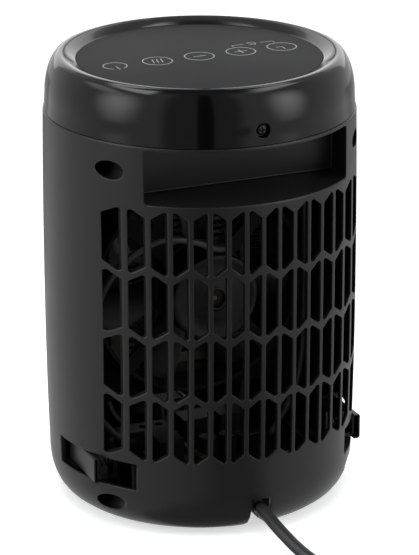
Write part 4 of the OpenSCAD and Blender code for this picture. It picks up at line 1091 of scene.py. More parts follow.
def body_core(depth, rows=34, turns=96):
    """The body as a solid, all round, this deep below its outer face."""
    line = Line(body_line())
    phi = np.linspace(0, 2 * math.pi, turns, endpoint=False)
    rings = [line.spot(phi, np.full(turns, s), depth) for s in np.linspace(0.5, line.length, rows)]
    faces = [(a + k, a + turns + k, a + turns + (k + 1) % turns, a + (k + 1) % turns)
             for a in range(0, (rows - 1) * turns, turns) for k in range(turns)]
    faces += [tuple(range(turns)), tuple(range((rows - 1) * turns, rows * turns))]
    return solid("body_core", np.concatenate(rings), faces)


def rod(x, z, r, y0, y1, n=32):
    return prism([(x + r * math.cos(2 * math.pi * k / n), z + r * math.sin(2 * math.pi * k / n))
                  for k in range(n)], y0, y1)


def upright_hole(x, y, r, z0, z1):
    bm = bmesh.new()
    bmesh.ops.create_cone(bm, cap_ends=True, segments=32, radius1=r * MM, radius2=r * MM,
                          depth=(z1 - z0) * MM,
                          matrix=Matrix.Translation((x * MM, y * MM, (z0 + z1) / 2 * MM)))
    mesh = bpy.data.meshes.new("upright_hole")
    bm.to_mesh(mesh)
    bm.free()
    return mesh


def rear_mounts():
    foot, roof, far = SLOT_LOW - LUG_T, SLOT_TOP + LUG_T, PAST_WALL
    steps = []
    for s in (1, -1):
        for x0, x1, z0, z1, y0, y1 in (
                (PIVOT_X - 5.5, far, SLOT_TOP, roof, LUG_FRONT, PIVOT_Y + 5.5),
                (POST_X, far, foot, SLOT_LOW, LUG_FRONT, 32),
                (POST_X, POST_X + POST_T, foot, SLOT_TOP, 23, 32),
                (SLOT_IN - 2, SLOT_IN, foot, roof, 50, far)):
            steps.append(("UNION", prism(box_section(s, x0, x1, z0, z1), y0, y1)))
    steps += [("UNION", rod(x, z, WELL_OUT, SEAM_Y, WELL_FLOOR - 1.2)) for x, z in WELLS]
    steps.append(("INTERSECT", body_core(WALL / 2)))
    steps.append(("UNION", prism(box_section(1, -TAB_X, TAB_X, TAB_LOW, TAB_TOP), TAB_FRONT, TAB_BACK)))
    steps += [("DIFFERENCE", upright_hole(s * PIVOT_X, PIVOT_Y, PIN_HOLE, foot - 1, roof + 1))
              for s in (1, -1)]
    steps += [("DIFFERENCE", rod(x, z, SCREW_HOLE, SEAM_Y - 1, WELL_FLOOR)) for x, z in WELLS]
    steps.append(("DIFFERENCE", rod(0, CAP_SCREW_Z, PIN_HOLE, 70, 80)))
    return carved(steps[0][1], steps[1:])


def front_bosses():
    steps = [("UNION", rod(x, z, BOSS_R, BOSS_FRONT, BOSS_BACK)) for x, z in WELLS]
    steps.append(("INTERSECT", body_core(WALL / 2)))
    steps += [("DIFFERENCE", rod(x, z, BOSS_HOLE, BOSS_FRONT - 1, BOSS_BACK + 0.1)) for x, z in WELLS]
    return carved(steps[0][1], steps[1:])


eased("rear_shell", "rear_shell_mounts", 0.25, shell_satin, "shell_satin", mesh=rear_mounts())
eased("front_shell", "front_shell_bosses", 0.25, shell_satin, "shell_satin", mesh=front_bosses())

# ---------------------------------------------------------------- the base plate and its feet
# A flat black plate screwed up into both shells from below. Four soft rubber discs are pressed into round
# seats in it, and it carries the heater on them.
base_black = moulded("base_matte_black", (0.008, 0.008, 0.008), 0.62, grain=0.0008, depth=0.00003)
foot_rubber = moulded("foot_rubber", (0.009, 0.009, 0.009), 0.78, grain=0.0014, depth=0.00004, gloss=0.3)
eased("base_plate", "base_plate_moulding", 0.35, base_black, "base_black")
eased("foot_pads", "foot_pad_discs", 0.45, foot_rubber, "foot_rubber", segments=3)

# ---------------------------------------------------------------- the cord's relief, clamp, tie and plug
# A soft tapered sleeve moulded on the cord, slit into rings so that it bends evenly, and held down inside by
# a small clamp. The far end has a moulded two-blade plug, and one releasable tie holds the coil.
relief_pvc = moulded("relief_soft_pvc", (0.015, 0.015, 0.015), 0.5, grain=0.001, depth=0.00002)
RELIEF_END, TAPER_FROM, CORD_Z = 80.0, 56.0, 14.5


def cord_relief():
    outline = [(CORD_R + 0.02, 39), (5.8, 39), (6, 39.2), (6, 41.3), (5.8, 41.5), (5, 41.6),
               (5, TAPER_FROM - 0.4)]
    rings = 7
    pitch = (RELIEF_END - TAPER_FROM) / rings
    for i in range(rings):
        y, r = TAPER_FROM + pitch * i, 4.95 - 0.95 * i / rings
        outline += [(r - 0.12, y), (r, y + 0.3), (r - 0.06, y + pitch * 0.62), (r - 0.2, y + pitch * 0.70),
                    (r - 0.62, y + pitch * 0.74), (r - 0.62, y + pitch * 0.97)]
    outline += [(3.75, RELIEF_END - 0.25), (CORD_R + 0.02, RELIEF_END)]
    return turned("cord_relief_sleeve", outline, relief_pvc, at=(0, 0, CORD_Z), axis="Y", steps=48, sharp=40)


stand_for(cord_relief(), "cord_relief", "cord_black")
eased("cord_clamp", "cord_clamp_bar", 0.3, base_black, "inner_black")
plug_body = eased("mains_plug", "mains_plug_body", 1.1, relief_pvc, "cord_black", segments=4)
tie = eased("cord_tie", "cord_tie_strap", 0.15, relief_pvc, "cord_black")
blade_brass = drawn_metal("plug_blade_brass", (0.62, 0.47, 0.22), 0.28, streak=(1, 0.1, 1))
plug_pins = eased("plug_blades", "plug_blade_pair", 0.35, blade_brass, "blade_brass", segments=3)

# ---------------------------------------------------------------- the fan and its motor
# Behind the heater core, a black shroud holds a shaded motor on four arms. Its seven-bladed fan, moulded in
# dark grey, is pushed on the shaft from the front and kept there by a spring clip.
FAN_Z, FAN_R, BLADES, HUB_R, FAN_FRONT, FAN_BACK, SHAFT_R = 115.0, 58.5, 7, 15.0, -20.0, -6.0, 1.5
MOTOR_R, CAN_BACK, BLADE_REACH, ROOT_PITCH, TIP_PITCH = 25.0, 20.1, 6.35, 44, 30
BLADE_HALF_T, BLADE_CAMBER, BLADE_SWEEP, TIP_FROM, TIP_GAP = 0.85, 1.3, 1.4, 0.86, 0.15

inner_black = moulded("inner_matte_black", (0.0032, 0.0032, 0.0032), 0.7, grain=0.001, depth=0.00003,
                      gloss=0.15)
fan_grey = moulded("fan_dark_grey", (0.007, 0.007, 0.0075), 0.42, grain=0.0008, depth=0.00001, gloss=0.4)
eased("fan_shroud", "fan_shroud_plate", 0.3, inner_black, "inner_black", segments=1)


def one_blade():
    """A cambered, twisted fan blade of even thickness with a rounded tip, standing up from the hub."""
    span, chord = 22, 12
    middle_y, root = (FAN_FRONT + FAN_BACK) / 2, HUB_R * 0.82
    verts = []
    for face in (1, -1):
        for i in range(span + 1):
            f = i / span
            rho = root + (FAN_R - TIP_GAP - root) * f
            pitch = math.radians(ROOT_PITCH + (TIP_PITCH - ROOT_PITCH) * f)
            half = min(6.2 / math.sin(pitch), 6.5 + 7.0 * f)
            tip = math.sqrt(max(1 - max(0, (f - TIP_FROM) / (1 - TIP_FROM)) ** 2 * 0.55, 0.05))
            for k in range(chord + 1):
                u = -1 + 2 * k / chord
                along = u * half * tip + BLADE_SWEEP * f * f
                thick = BLADE_HALF_T * max(1 - u ** 4, 0.0) ** 0.5 + 0.05
                out = BLADE_CAMBER * (1 - u * u) + face * thick
                x = along * math.cos(pitch) - out * math.sin(pitch)
                y = along * math.sin(pitch) + out * math.cos(pitch)
                y = max(min(y, BLADE_REACH), -BLADE_REACH)
                up = math.sqrt(max(rho * rho - x * x, 1))
                verts.append((x, y + middle_y, up))
    w, half_n = chord + 1, (span + 1) * (chord + 1)
    faces = []
    for i in range(span):
        for k in range(chord):
            a = i * w + k
            faces.append((a, a + 1, a + w + 1, a + w))
            faces.append((half_n + a, half_n + a + w, half_n + a + w + 1, half_n + a + 1))
    edge = list(range(w)) + [i * w + chord for i in range(1, span + 1)]
    edge += [span * w + k for k in range(chord - 1, -1, -1)] + [i * w for i in range(span - 1, 0, -1)]
    for a, b in zip(edge, edge[1:] + edge[:1]):
        faces.append((a, b, half_n + b, half_n + a))
    return solid("fan_blade", verts, faces, 50)


def pattern_at_marks():
    """A tree that sets one copy of a pattern at each vertex of a mesh, turned as the vertex says."""
    tree = bpy.data.node_groups.new("pattern_at_marks", "GeometryNodeTree")
    ids, new, link = {}, tree.nodes.new, tree.links.new
    for label, kind in (("Geometry", "Geometry"), ("Pattern", "Object"), ("Finish", "Material")):
        socket = tree.interface.new_socket(label, in_out="INPUT", socket_type="NodeSocket" + kind)
        ids[label] = socket.identifier
    tree.interface.new_socket("Geometry", in_out="OUTPUT", socket_type="NodeSocketGeometry")
    start, end, turn, spin, pattern, copies, real, coat = [new(kind) for kind in (
        "NodeGroupInput", "NodeGroupOutput", "GeometryNodeInputNamedAttribute", "FunctionNodeEulerToRotation",
        "GeometryNodeObjectInfo", "GeometryNodeInstanceOnPoints", "GeometryNodeRealizeInstances",
        "GeometryNodeSetMaterial")]
    turn.data_type = "FLOAT_VECTOR"
    turn.inputs["Name"].default_value = "turn"
    for source, target in (
            (turn.outputs["Attribute"], spin.inputs[0]), (start.outputs["Pattern"], pattern.inputs["Object"]),
            (start.outputs["Geometry"], copies.inputs["Points"]),
            (pattern.outputs["Geometry"], copies.inputs["Instance"]),
            (spin.outputs[0], copies.inputs["Rotation"]), (copies.outputs[0], real.inputs[0]),
            (real.outputs[0], coat.inputs["Geometry"]), (start.outputs["Finish"], coat.inputs["Material"]),
            (coat.outputs[0], end.inputs[0])):
        link(source, target)
    return tree, ids


marks_tree, marks_ids = pattern_at_marks()


def copies_at(name, pattern_mesh, places, material):
    """One piece made of copies of a pattern at (place in millimetres, turn in degrees)."""
    mesh = bpy.data.meshes.new(name + "_marks")
    mesh.from_pydata([[v * MM for v in place] for place, angles in places], [], [])
    turn = mesh.attributes.new("turn", "FLOAT_VECTOR", "POINT")
    for mark, (place, angles) in zip(turn.data, places):
        mark.vector = [math.radians(v) for v in angles]
    pattern, work = placed(name + "_pattern", pattern_mesh), placed(name + "_work", mesh)
    maker = work.modifiers.new("maker", "NODES")
    maker.node_group = marks_tree
    maker[marks_ids["Pattern"]], maker[marks_ids["Finish"]] = pattern, material
    made = baked(work, pattern)
    made.name = name
    return finished(made, material)


def fan_hub():
    outline = [(SHAFT_R + 0.02, FAN_FRONT), (HUB_R - 2.2, FAN_FRONT), (HUB_R - 0.8, FAN_FRONT + 0.4),
               (HUB_R - 0.1, FAN_FRONT + 1.6), (HUB_R, FAN_FRONT + 3), (HUB_R, FAN_BACK),
               (HUB_R - 1.6, FAN_BACK), (HUB_R - 1.6, FAN_BACK - 6), (5.2, FAN_BACK - 6),
               (5.0, FAN_BACK - 0.5), (4.5, FAN_BACK),
               (SHAFT_R + 0.02, FAN_BACK)]
    return turned("fan_hub", outline, fan_grey, at=(0, 0, FAN_Z), axis="Y", steps=72)


blade_turns = [((0, 0, FAN_Z), (0, 360 * k / BLADES, 0)) for k in range(BLADES)]
stand_for(copies_at("fan_blades", one_blade(), blade_turns, fan_grey), "fan_impeller", "fan_grey", "fan")
stand_for(fan_hub(), "fan_impeller", "fan_grey", "fan")

# Painted shade: the motor's zinc, iron, copper, shaft and bearings, and the steel of the springs and clip,
# are coloured far darker than the bare metals, for the shade inside the body, so that no glints show there.
motor_zinc = drawn_metal("motor_zinc_plate", (0.028, 0.028, 0.029), 0.5, tint=0.12)
stator_iron = drawn_metal("stator_laminations", (0.10, 0.10, 0.11), 0.5, grain=0.0005,
                          streak=(0.05, 1, 0.05))
winding_copper = drawn_metal("winding_copper", (0.12, 0.045, 0.02), 0.32, grain=0.0006,
                             streak=(0.2, 1, 0.2))
shaft_steel = drawn_metal("shaft_ground_steel", (0.06, 0.06, 0.062), 0.3, streak=(1, 0.05, 1))
bearing_bronze = drawn_metal("bearing_sintered_bronze", (0.022, 0.018, 0.014), 0.5, grain=0.0003)
spring_steel = drawn_metal("spring_wire_steel", (0.10, 0.10, 0.10), 0.4)


def motor_back_cover():
    """The pressed steel lid on the back of the motor can, with a stiffening ring and its bearing cup."""
    y = CAN_BACK + 0.1
    outline = [(5.02, y), (MOTOR_R - 0.6, y), (MOTOR_R, y + 0.3), (MOTOR_R, y + 1.2),
               (MOTOR_R - 0.7, y + 1.9), (MOTOR_R - 3, y + 1.9), (MOTOR_R - 3.8, y + 1.3), (13.5, y + 1.3),
               (12.6, y + 1.9), (8.2, y + 1.9), (7.0, y + 2.4), (6.6, y + 2.9), (5.4, y + 2.95),
               (5.02, y + 2.6)]
    return turned("motor_back_cover", outline, motor_zinc, at=(0, 0, FAN_Z), axis="Y", steps=96, sharp=50)


for node, name, ease_width, finish, body, slot in (
        ("motor_can", "motor_can_shell", 0.6, motor_zinc, "housing", "motor_steel"),
        ("motor_stator", "motor_stator_stack", 0.2, stator_iron, "housing", "iron"),
        ("motor_windings", "motor_winding_rings", 0.8, winding_copper, "housing", "copper"),
        ("motor_bearings", "motor_bearing_pair", 0.3, bearing_bronze, "housing", "bearing_bronze"),
        ("motor_rotor", "motor_rotor_body", 0.3, stator_iron, "fan", "iron"),
        ("motor_shaft", "motor_shaft_pin", 0.25, shaft_steel, "fan", "shaft_steel"),
        ("fan_clip", "fan_spring_clip", 0.3, spring_steel, "fan", "spring_steel")):
    eased(node, name, ease_width, finish, slot, body)
stand_for(motor_back_cover(), "motor_cover", "motor_steel")

# ---------------------------------------------------------------- the heater core
# Four self-regulating ceramic bars stand in a frame of heat-resistant resin. Pleated aluminium fins are
# clamped to both sides of each bar, and two straps behind carry the current. A snap thermostat and a
# one-shot fuse sit on the frame's top.
CORE_Z, CORE_X, CORE_H, CORE_FRONT, CORE_BARS, BAR_T, BAR_DEEP = 115.0, 57.0, 120.0, -50.1, 4, 6, 18
FIN_PITCH, FIN_T, FIN_GAP, FIN_SPARE = 4.0, 0.3, 0.35, 14

heat_resin = moulded("heat_resin_dark", (0.0045, 0.0042, 0.0040), 0.6, grain=0.0012, depth=0.00003,
                     gloss=0.2)
bar_ceramic = moulded("bar_ceramic", (0.045, 0.040, 0.035), 0.72, grain=0.0005, depth=0.00002)
# Painted shade: the fins and straps are coloured far darker than bare aluminium and tinned copper, for the
# shade inside the body.
fin_aluminium = drawn_metal("fin_aluminium", (0.050, 0.050, 0.051), 0.5, streak=(1, 0.2, 1))
strap_tin = drawn_metal("strap_tinned_copper", (0.10, 0.095, 0.09), 0.45, streak=(0.1, 1, 1))
thermostat_body = moulded("thermostat_phenolic", (0.012, 0.009, 0.007), 0.5, grain=0.0007, depth=0.00002)
for node, name, ease_width, finish, slot in (
        ("heater_frame", "heater_frame_moulding", 0.5, heat_resin, "heat_resin"),
        ("ceramic_bars", "ceramic_bar_set", 0.4, bar_ceramic, "bar_ceramic"),
        ("electrode_straps", "electrode_strap_pair", 0.15, strap_tin, "fin_aluminium"),
        ("thermostat", "thermostat_disc", 0.4, thermostat_body, "thermostat_body"),
        ("thermal_fuse", "thermal_fuse_body", 0.2, thermostat_body, "thermostat_body")):
    eased(node, name, ease_width, finish, slot)


def fins():
    """One pleat of the fin strip, folded from thin sheet, repeated up both sides of every bar."""
    cell = 2 * (CORE_X - 4) / CORE_BARS
    reach = (cell - BAR_T) / 2 - FIN_GAP
    fold = [(0, 0), (0.25, 0.55), (reach - 0.25, 1.45), (reach, 2), (reach - 0.25, 2.55), (0.25, 3.45),
            (0, 4)]
    upper = []
    for i, (x, z) in enumerate(fold):
        a, b = fold[max(i - 1, 0)], fold[min(i + 1, len(fold) - 1)]
        t = Vector((b[0] - a[0], b[1] - a[1])).normalized()
        upper.append((x - t.y * FIN_T / 2, z + t.x * FIN_T / 2, x + t.y * FIN_T / 2, z - t.x * FIN_T / 2))
    verts, faces, n = [], [], len(fold)
    for y in (0, BAR_DEEP):
        for x0, z0, x1, z1 in upper:
            verts += [(max(min(x0, reach), 0.0), y, z0), (max(min(x1, reach), 0.0), y, z1)]
    w = 2 * n
    for i in range(n - 1):
        a = 2 * i
        faces += [(a, a + 2, w + a + 2, w + a), (a + 1, w + a + 1, w + a + 3, a + 3),
                  (a, a + 1, a + 3, a + 2), (w + a, w + a + 2, w + a + 3, w + a + 1)]
    faces += [(0, w, w + 1, 1), (w - 2, w - 1, 2 * w - 1, 2 * w - 2)]
    places = []
    count = int((CORE_H - FIN_SPARE) / FIN_PITCH)
    for i in range(CORE_BARS):
        middle = (i - (CORE_BARS - 1) / 2) * cell
        for s in (-1, 1):
            for k in range(count):
                z = CORE_Z + (k - count / 2) * FIN_PITCH
                y = CORE_FRONT + 4 + (0 if s > 0 else BAR_DEEP)
                places.append(((middle + s * (BAR_T / 2 + 0.15), y, z), (0, 0, 0 if s > 0 else 180)))
    return copies_at("heater_fin_pleats", solid("fin_pleat", verts, faces, 34), places, fin_aluminium)


stand_for(fins(), "heater_fins", "fin_aluminium")

# ---------------------------------------------------------------- the power board
# A single-sided board on four posts over the base plate. It carries two relays, the
# supply's transformer and capacitors, and the terminal block for the mains and motor leads.
BOARD_TOP = 17.2

# Painted shade: the power and touch boards, the relays, the transformer and the terminal block are coloured
# near black for the dark inside of the body. The capacitors are black of their own.
solder_mask = moulded("solder_mask_black", (0.003, 0.0035, 0.003), 0.45, grain=0.0025, depth=0.00001,
                      wear=0.2, gloss=0.2)
relay_case = moulded("relay_case_black", (0.004, 0.004, 0.0045), 0.45, grain=0.0008, gloss=0.2)
winding_tape = moulded("transformer_tape", (0.0045, 0.0040, 0.0035), 0.45, grain=0.0012, gloss=0.15)
capacitor_sleeve = moulded("capacitor_sleeve", (0.004, 0.004, 0.005), 0.35, grain=0.002, depth=0.000006,
                           gloss=0.2)
terminal_case = moulded("terminal_case", (0.004, 0.005, 0.0045), 0.5, grain=0.0008, gloss=0.2)
for node, name, ease_width, finish, slot in (
        ("power_board", "power_board_sheet", 0.15, solder_mask, "board_green"),
        ("power_relays", "power_relay_pair", 0.5, relay_case, "relay_blue"),
        ("supply_transformer", "supply_transformer_body", 0.5, winding_tape, "transformer_yellow"),
        ("supply_capacitors", "supply_capacitor_set", 0.5, capacitor_sleeve, "capacitor_black"),
        ("terminal_block", "terminal_block_body", 0.4, terminal_case, "terminal_green"),
        ("touch_board", "touch_board_disc", 0.15, solder_mask, "board_green")):
    eased(node, name, ease_width, finish, slot)


def dress(node, material):
    """Gives a CAD solid that keeps its own shape its finish."""
    slots = nodes[node].material_slots
    if not slots:
        nodes[node].data.materials.append(material)
    for s in slots:
        s.material = material


dress("touch_springs", spring_steel)

# ---------------------------------------------------------------- the tip-over switch
# The table pushes a pale nylon plunger up through the base against a spring. When the heater tips or is
# lifted, the plunger drops 3 mm and lets go of the small snap switch above it.
# Painted shade: the pale nylon is coloured dark grey, for the shade inside the body.
switch_nylon = moulded("switch_nylon", (0.09, 0.09, 0.085), 0.5, grain=0.0007)
snap_switch = moulded("snap_switch_black", (0.006, 0.006, 0.006), 0.45, grain=0.0007, gloss=0.2)
eased("tip_switch_housing", "tip_switch_case", 0.3, switch_nylon, "switch_white")
eased("tip_plunger", "tip_plunger_pin", 0.3, switch_nylon, "switch_white", "tip_plunger_body")
eased("tip_microswitch", "tip_snap_switch", 0.3, snap_switch, "capacitor_black")
SPRING_AT, SPRING_LONG, SPRING_R, WIRE_R, COILS = (0.0656, 0.0275, 0.03335), 10.9, 3.0, 0.35, 6


def coil_spring(name, node, start, way, side, length, coil_r):
    """A wound spring: its end turns lie close, as on a real one, and the middle turns are spread."""
    way, side, wire_r, turns = Vector(way), Vector(side), WIRE_R, COILS
    other, points, count = way.cross(side), [], turns * 22
    for i in range(count + 1):
        u = i / count
        rise = wire_r + (length - 2 * wire_r) * (u - math.sin(2 * math.pi * u) / (2 * math.pi) * 0.55)
        a = 2 * math.pi * turns * u
        round_way = side * (coil_r * math.cos(a))
        points.append(Vector(start) + way * rise + round_way + other * (coil_r * math.sin(a)))
    spring = hose(name, points, wire_r, 10)
    spring.data.materials.append(spring_steel)
    stand_for(spring, node, "spring_steel")
    return spring


coil_spring("tip_switch_spring", "tip_spring", (0, -46, 11.5), (0, 0, 1), (1, 0, 0), 9.4, 3.4)
for side_name, s in (("right", 1), ("left", -1)):
    latch, anchor = side_name + "_latch", (s * SPRING_AT[0], *SPRING_AT[1:])
    spring = coil_spring(latch + "_coil", latch + "_spring", [v / MM for v in anchor], (s, 0, 0), (0, 1, 0),
                         SPRING_LONG, SPRING_R)
    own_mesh(spring)
pin_steel = drawn_metal("pin_bright_steel", (0.5, 0.5, 0.5), 0.3, streak=(1, 1, 0.1))
eased("latch_pins", "latch_pin_pair", 0.25, pin_steel, "screw_steel")

# ---------------------------------------------------------------- the wiring
# Silicone sleeved leads run from the power board to the motor, the core and the touch board, and the two
# cores of the mains cord run from the relief to the terminal block.
LEAD_R = 2.2
MOTOR_ROUTE = [(-9, 16, 141.2), (-4, 21, 143), (4, 25, 146), (13, 28, 151), (24, 30, 155), (36, 30, 156),
               (47, 28, 151), (57, 24, 142), (64, 18, 128), (67, 13, 112), (68, 9, 95), (68, 6, 78),
               (66, 4, 62), (62, 2, 48), (55, 0, 38), (48, -1, 31), (42, -4, 26.5), (38, -7.5, 24),
               (38, -9.8, 24)]
HEATER_ROUTE = [(40, -36, 54.7), (40, -36, 50), (42, -36, 43), (41, -33, 35), (37, -28.5, 28.5),
                (32, -26, 25), (30, -23.8, 24), (30, -22.2, 24)]
HARNESS_ROUTE = [(-50, 0, 237), (-51, -4, 230), (-53, -8, 222), (-55, -11, 212), (-57, -12, 202),
                 (-61, -12, 190), (-66, -12, 178), (-69, -12, 162), (-69, -12, 144), (-69, -12, 126),
                 (-69, -12, 108), (-69, -12, 90), (-69, -12, 72), (-67, -10, 58), (-62, -6, 44),
                 (-54, -2, 32), (-46, 1, 24), (-43, 2, 20.5), (-43, 2, 17.5)]
MAINS_ROUTE = [(0, 38.8, 14.5), (0, 37.6, 14.5), (0.4, 36.2, 16.6), (2, 34.2, 20.5), (7, 30, 23.5),
               (11, 23, 24), (12.5, 14, 24), (13, 5, 24), (16, -2, 24), (20, -7.5, 24), (20, -9.8, 24)]
# Painted shade: the sleeves are coloured near black, far darker than the white and brown silicone of the
# leads, for the shade inside the body.
sleeve_grey = moulded("lead_sleeve_grey", (0.022, 0.022, 0.022), 0.45, grain=0.0008)
sleeve_pale = moulded("lead_sleeve_pale", (0.030, 0.030, 0.029), 0.5, grain=0.0008)
sleeve_brown = moulded("lead_sleeve_brown", (0.012, 0.007, 0.004), 0.5, grain=0.0008)


def lead(name, route, radius, material, node, slot="lead_white"):
    sleeve = hose(name, through(route, 2.5), radius - 0.1, 14)
    sleeve.data.materials.append(material)
    stand_for(sleeve, node, slot)


lead("motor_lead_sleeve", MOTOR_ROUTE, LEAD_R, sleeve_grey, "motor_leads")
for side_name, s in (("right", 1), ("left", -1)):
    lead("heater_lead_" + side_name, [(s * x, y, z) for x, y, z in HEATER_ROUTE], LEAD_R * 0.8,
         sleeve_pale, "heater_leads")
lead("mains_lead_sleeve", MAINS_ROUTE, LEAD_R * 0.9, sleeve_brown, "mains_leads", "lead_brown")
lead("panel_harness_sleeve", HARNESS_ROUTE, LEAD_R * 0.8, sleeve_grey, "panel_harness")

# ---------------------------------------------------------------- the screws
# Cross-headed steel screws, zinc plated and blackened where they show. Their heads are slightly domed, and
# the driver's cross is pressed in with sloping walls.
screw_zinc = drawn_metal("screw_zinc_plate", (0.42, 0.42, 0.42), 0.35, tint=0.1)
screw_black = drawn_metal("screw_black_oxide", (0.045, 0.045, 0.046), 0.32, tint=0.15)


def screw_pattern(name, r, length, head_r, head_h):
    """One screw along +Z, its head below the origin. Rings on the shank above stand for its thread."""
    verts, faces = [], []

    def ring(radius, z, n=32):
        at = len(verts)
        for k in range(n):
            a = 2 * math.pi * k / n
            verts.append((radius * math.cos(a), radius * math.sin(a), z))
        return list(range(at, at + n))

    def band(a, b):
        for k in range(len(a)):
            j = (k + 1) % len(a)
            faces.append((a[k], a[j], b[j], b[k]))

    arm, half = head_r * 0.56, head_r * 0.125
    cross = [(arm, -half), (arm, half), (half, half), (half, arm), (-half, arm), (-half, half), (-arm, half),
             (-arm, -half), (-half, -half), (-half, -arm), (half, -arm), (half, -half)]
    crown = ring(head_r * 0.72, -head_h * 0.94)
    at = len(verts)
    verts.extend((x, y, -head_h * 0.99) for x, y in cross)
    rim = np.array([[verts[i][0], verts[i][1]] for i in crown])
    tri = fill(rim, [np.array(cross)], (100, 100))[1]
    ids = crown + list(range(at, at + 12))
    faces.extend(tuple(ids[i] for i in t) for t in tri)
    deep = len(verts)
    verts.extend((x * 0.55, y * 0.55, -head_h * 0.45) for x, y in cross)
    band(list(range(at, at + 12)), list(range(deep, deep + 12)))
    faces.append(tuple(range(deep, deep + 12)))
    rings = [crown, ring(head_r * 0.9, -head_h * 0.72), ring(head_r * 0.985, -head_h * 0.42),
             ring(head_r, -head_h * 0.12), ring(head_r * 0.96, 0), ring(r, 0)]
    turns = max(2, int(length / (r * 0.55)))
    for k in range(turns):
        z = length * 0.9 * (k + 0.5) / turns
        rings += [ring(r * 0.8, z - length * 0.2 / turns), ring(r, z)]
    rings += [ring(r * 0.75, length * 0.93), ring(r * 0.2, length)]
    for a, b in zip(rings, rings[1:]):
        band(a, b)
    faces.append(tuple(rings[-1]))
    return solid(name, verts, faces, 30)


def polar(r, degrees):
    return r * math.cos(math.radians(degrees)), r * math.sin(math.radians(degrees))


SCREW_SETS = [
    ("shell_screw_set", "shell_screws", (2.0, 27, 3.8, 3.0), screw_black,
     [((x, WELL_FLOOR + 0.1, z), (90, 0, 0)) for x, z in WELLS]),
    ("cap_screw_one", "cap_screw", (1.5, 9, 3.0, 2.0), screw_black, [((0, 80.6, CAP_SCREW_Z), (90, 0, 0))]),
    ("base_screw_set", "base_screws", (1.2, 4.2, 2.4, 1.0), screw_zinc,
     [((*polar(62.3, a), 2.3), (0, 0, a)) for a in (30, 150, 210, 330)]),
    ("panel_screw_set", "panel_screws", (1.2, 4.8, 2.4, 1.6), screw_zinc,
     [((*polar(65.5, a), 238.8), (0, 0, a)) for a in (30, 150, 270)]),
    ("core_screw_set", "core_screws", (1.2, 5.0, 2.4, 1.6), screw_zinc,
     [((sx * 49, -27.2, CORE_Z + sz * 64), (-90, 0, 0)) for sx in (-1, 1) for sz in (-1, 1)]),
    ("board_screw_set", "board_screws", (1.2, 9.6, 2.4, 1.6), screw_zinc,
     [((x, y, BOARD_TOP + 0.1), (180, 0, 0)) for x in (42, -42) for y in (28, -30)]),
    ("clamp_screw_set", "clamp_screws", (1.2, 15, 2.4, 1.6), screw_zinc,
     [((s * 10, 48, 22.1), (180, 0, 0)) for s in (-1, 1)]),
    ("motor_screw_set", "motor_screws", (1.2, 4.3, 2.4, 1.6), screw_zinc,
     [((polar(19, a)[0], -4.1, FAN_Z + polar(19, a)[1]), (-90, 0, 0)) for a in (90, 210, 330)]),
]
for name, node, sizes, finish, places in SCREW_SETS:
    stand_for(copies_at(name, screw_pattern(name + "_pattern", *sizes), places, finish), node, "screw_steel")

# ---------------------------------------------------------------- the front grille
# The warm air leaves between eighteen level louvres, tied by three uprights and set in one frame that
# follows the round of the body. It is moulded in black polyamide, which stands the core's heat.
LOUVRES, LOUVRE_PITCH, LOUVRE_LOW, LOUVRE_HALF = 18, 7.3, 52.95, 48.3
LOUVRE_OUT, LOUVRE_IN, UPRIGHT_XS = 84.95, 75.6, (-24.8, 0, 24.8)
GRILLE_X, GRILLE_HALF_H, GRILLE_CORNER, UPRIGHT_HALF, LEVEL_FLANGE = 49.55, 72.55, 11.6, 71.7, 0.47
CORNER_STEPS, SIDE_STEPS, LOUVRE_STEPS, LOUVRE_BUNCH = 12, 24, 36, 0.55

grille_black = moulded("grille_black", (0.010, 0.010, 0.0105), 0.5, grain=0.0007, depth=0.00002, gloss=0.4)


def louvre_mesh():
    """One curved louvre: rounded at the front, thinner at the back, so that it leaves its mould."""
    under = [(LOUVRE_IN, -0.65), (LOUVRE_IN + 3, -0.8), (LOUVRE_OUT - 1.2, -0.97),
             (LOUVRE_OUT - 0.5, -0.86), (LOUVRE_OUT - 0.12, -0.5)]
    section = under + [(LOUVRE_OUT, 0)] + [(r, -z) for r, z in reversed(under)]
    steps, n, bunch = LOUVRE_STEPS, len(section), math.pi / 2 * LOUVRE_BUNCH
    verts = []
    for i in range(steps + 1):
        x = LOUVRE_HALF * math.sin((2 * i / steps - 1) * bunch) / math.sin(bunch)
        verts += [(x, -math.sqrt(r * r - x * x), z) for r, z in section]
    faces = [(i * n + k, i * n + (k + 1) % n, (i + 1) * n + (k + 1) % n, (i + 1) * n + k)
             for i in range(steps) for k in range(n)]
    faces += [tuple(range(n)), tuple(range(steps * n, steps * n + n))]
    return solid("louvre", verts, faces, 34)


def upright_mesh():
    """One upright bar behind the louvres' front edges."""
    section = [(-0.9, 8.4), (-0.95, 1.2), (-0.6, 0.5), (0, 0.3), (0.6, 0.5), (0.95, 1.2), (0.9, 8.4)]
    n = len(section)
    verts = [(x, y, z) for z in (-UPRIGHT_HALF, UPRIGHT_HALF) for x, y in section]
    faces = [(k, (k + 1) % n, n + (k + 1) % n, n + k) for k in range(n)]
    return solid("upright", verts, faces + [tuple(range(n)), tuple(range(n, 2 * n))], 34)


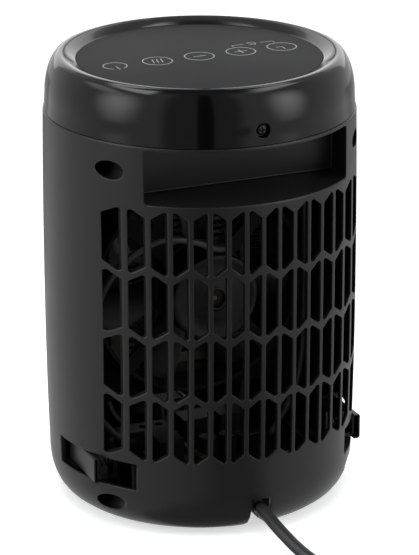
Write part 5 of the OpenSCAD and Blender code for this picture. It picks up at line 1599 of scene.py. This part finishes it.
def grille_frame():
    """The frame round the louvres with the flange that lies against the shell from inside."""
    section = [(-2.15, 75.6), (-2.15, 84.6), (-1.8, 84.95), (-0.4, 84.95), (0, 84.6), (0, 83.05),
               (4.3, 83.05), (4.3, 80.2), (0, 80.2), (0, 75.6)]
    corners = [(sx * (GRILLE_X - GRILLE_CORNER), sz * (GRILLE_HALF_H - GRILLE_CORNER), start)
               for sx, sz, start in ((-1, -1, 180), (1, -1, 270), (1, 1, 0), (-1, 1, 90))]
    path = []
    for (cx, cz, start), (nx, nz, after) in zip(corners, corners[1:] + corners[:1]):
        for k in range(CORNER_STEPS + 1):
            a = math.radians(start + 90 * k / CORNER_STEPS)
            path.append((cx, cz, math.cos(a), math.sin(a)))
        ux, uz = (round(v, 9) for v in (math.cos(math.radians(after)), math.sin(math.radians(after))))
        for k in range(1, SIDE_STEPS):
            path.append((cx + (nx - cx) * k / SIDE_STEPS, cz + (nz - cz) * k / SIDE_STEPS, ux, uz))
    n, verts = len(section), []
    for cx, cz, ux, uz in path:
        for o, r in section:
            x = cx + (GRILLE_CORNER + o) * ux
            z = cz + (GRILLE_CORNER + (o if o < 0 else o * (1 - LEVEL_FLANGE * abs(uz)))) * uz
            verts.append((x, -math.sqrt(r * r - x * x), GRILLE_Z + z))
    m = len(path)
    faces = [(i * n + k, i * n + (k + 1) % n, (i + 1) % m * n + (k + 1) % n, (i + 1) % m * n + k)
             for i in range(m) for k in range(n)]
    return solid("front_grille_surround", verts, faces, 34, 1e-7)


louvre_places = [((0, 0, LOUVRE_LOW + i * LOUVRE_PITCH), (0, 0, 0)) for i in range(LOUVRES)]
upright_places = [((x, -math.sqrt(LOUVRE_OUT ** 2 - x * x), GRILLE_Z), (0, 0, 0)) for x in UPRIGHT_XS]
for piece in (copies_at("front_grille_louvres", louvre_mesh(), louvre_places, grille_black),
              copies_at("front_grille_uprights", upright_mesh(), upright_places, grille_black),
              finished(grille_frame(), grille_black)):
    stand_for(piece, "front_grille", "grille_black")
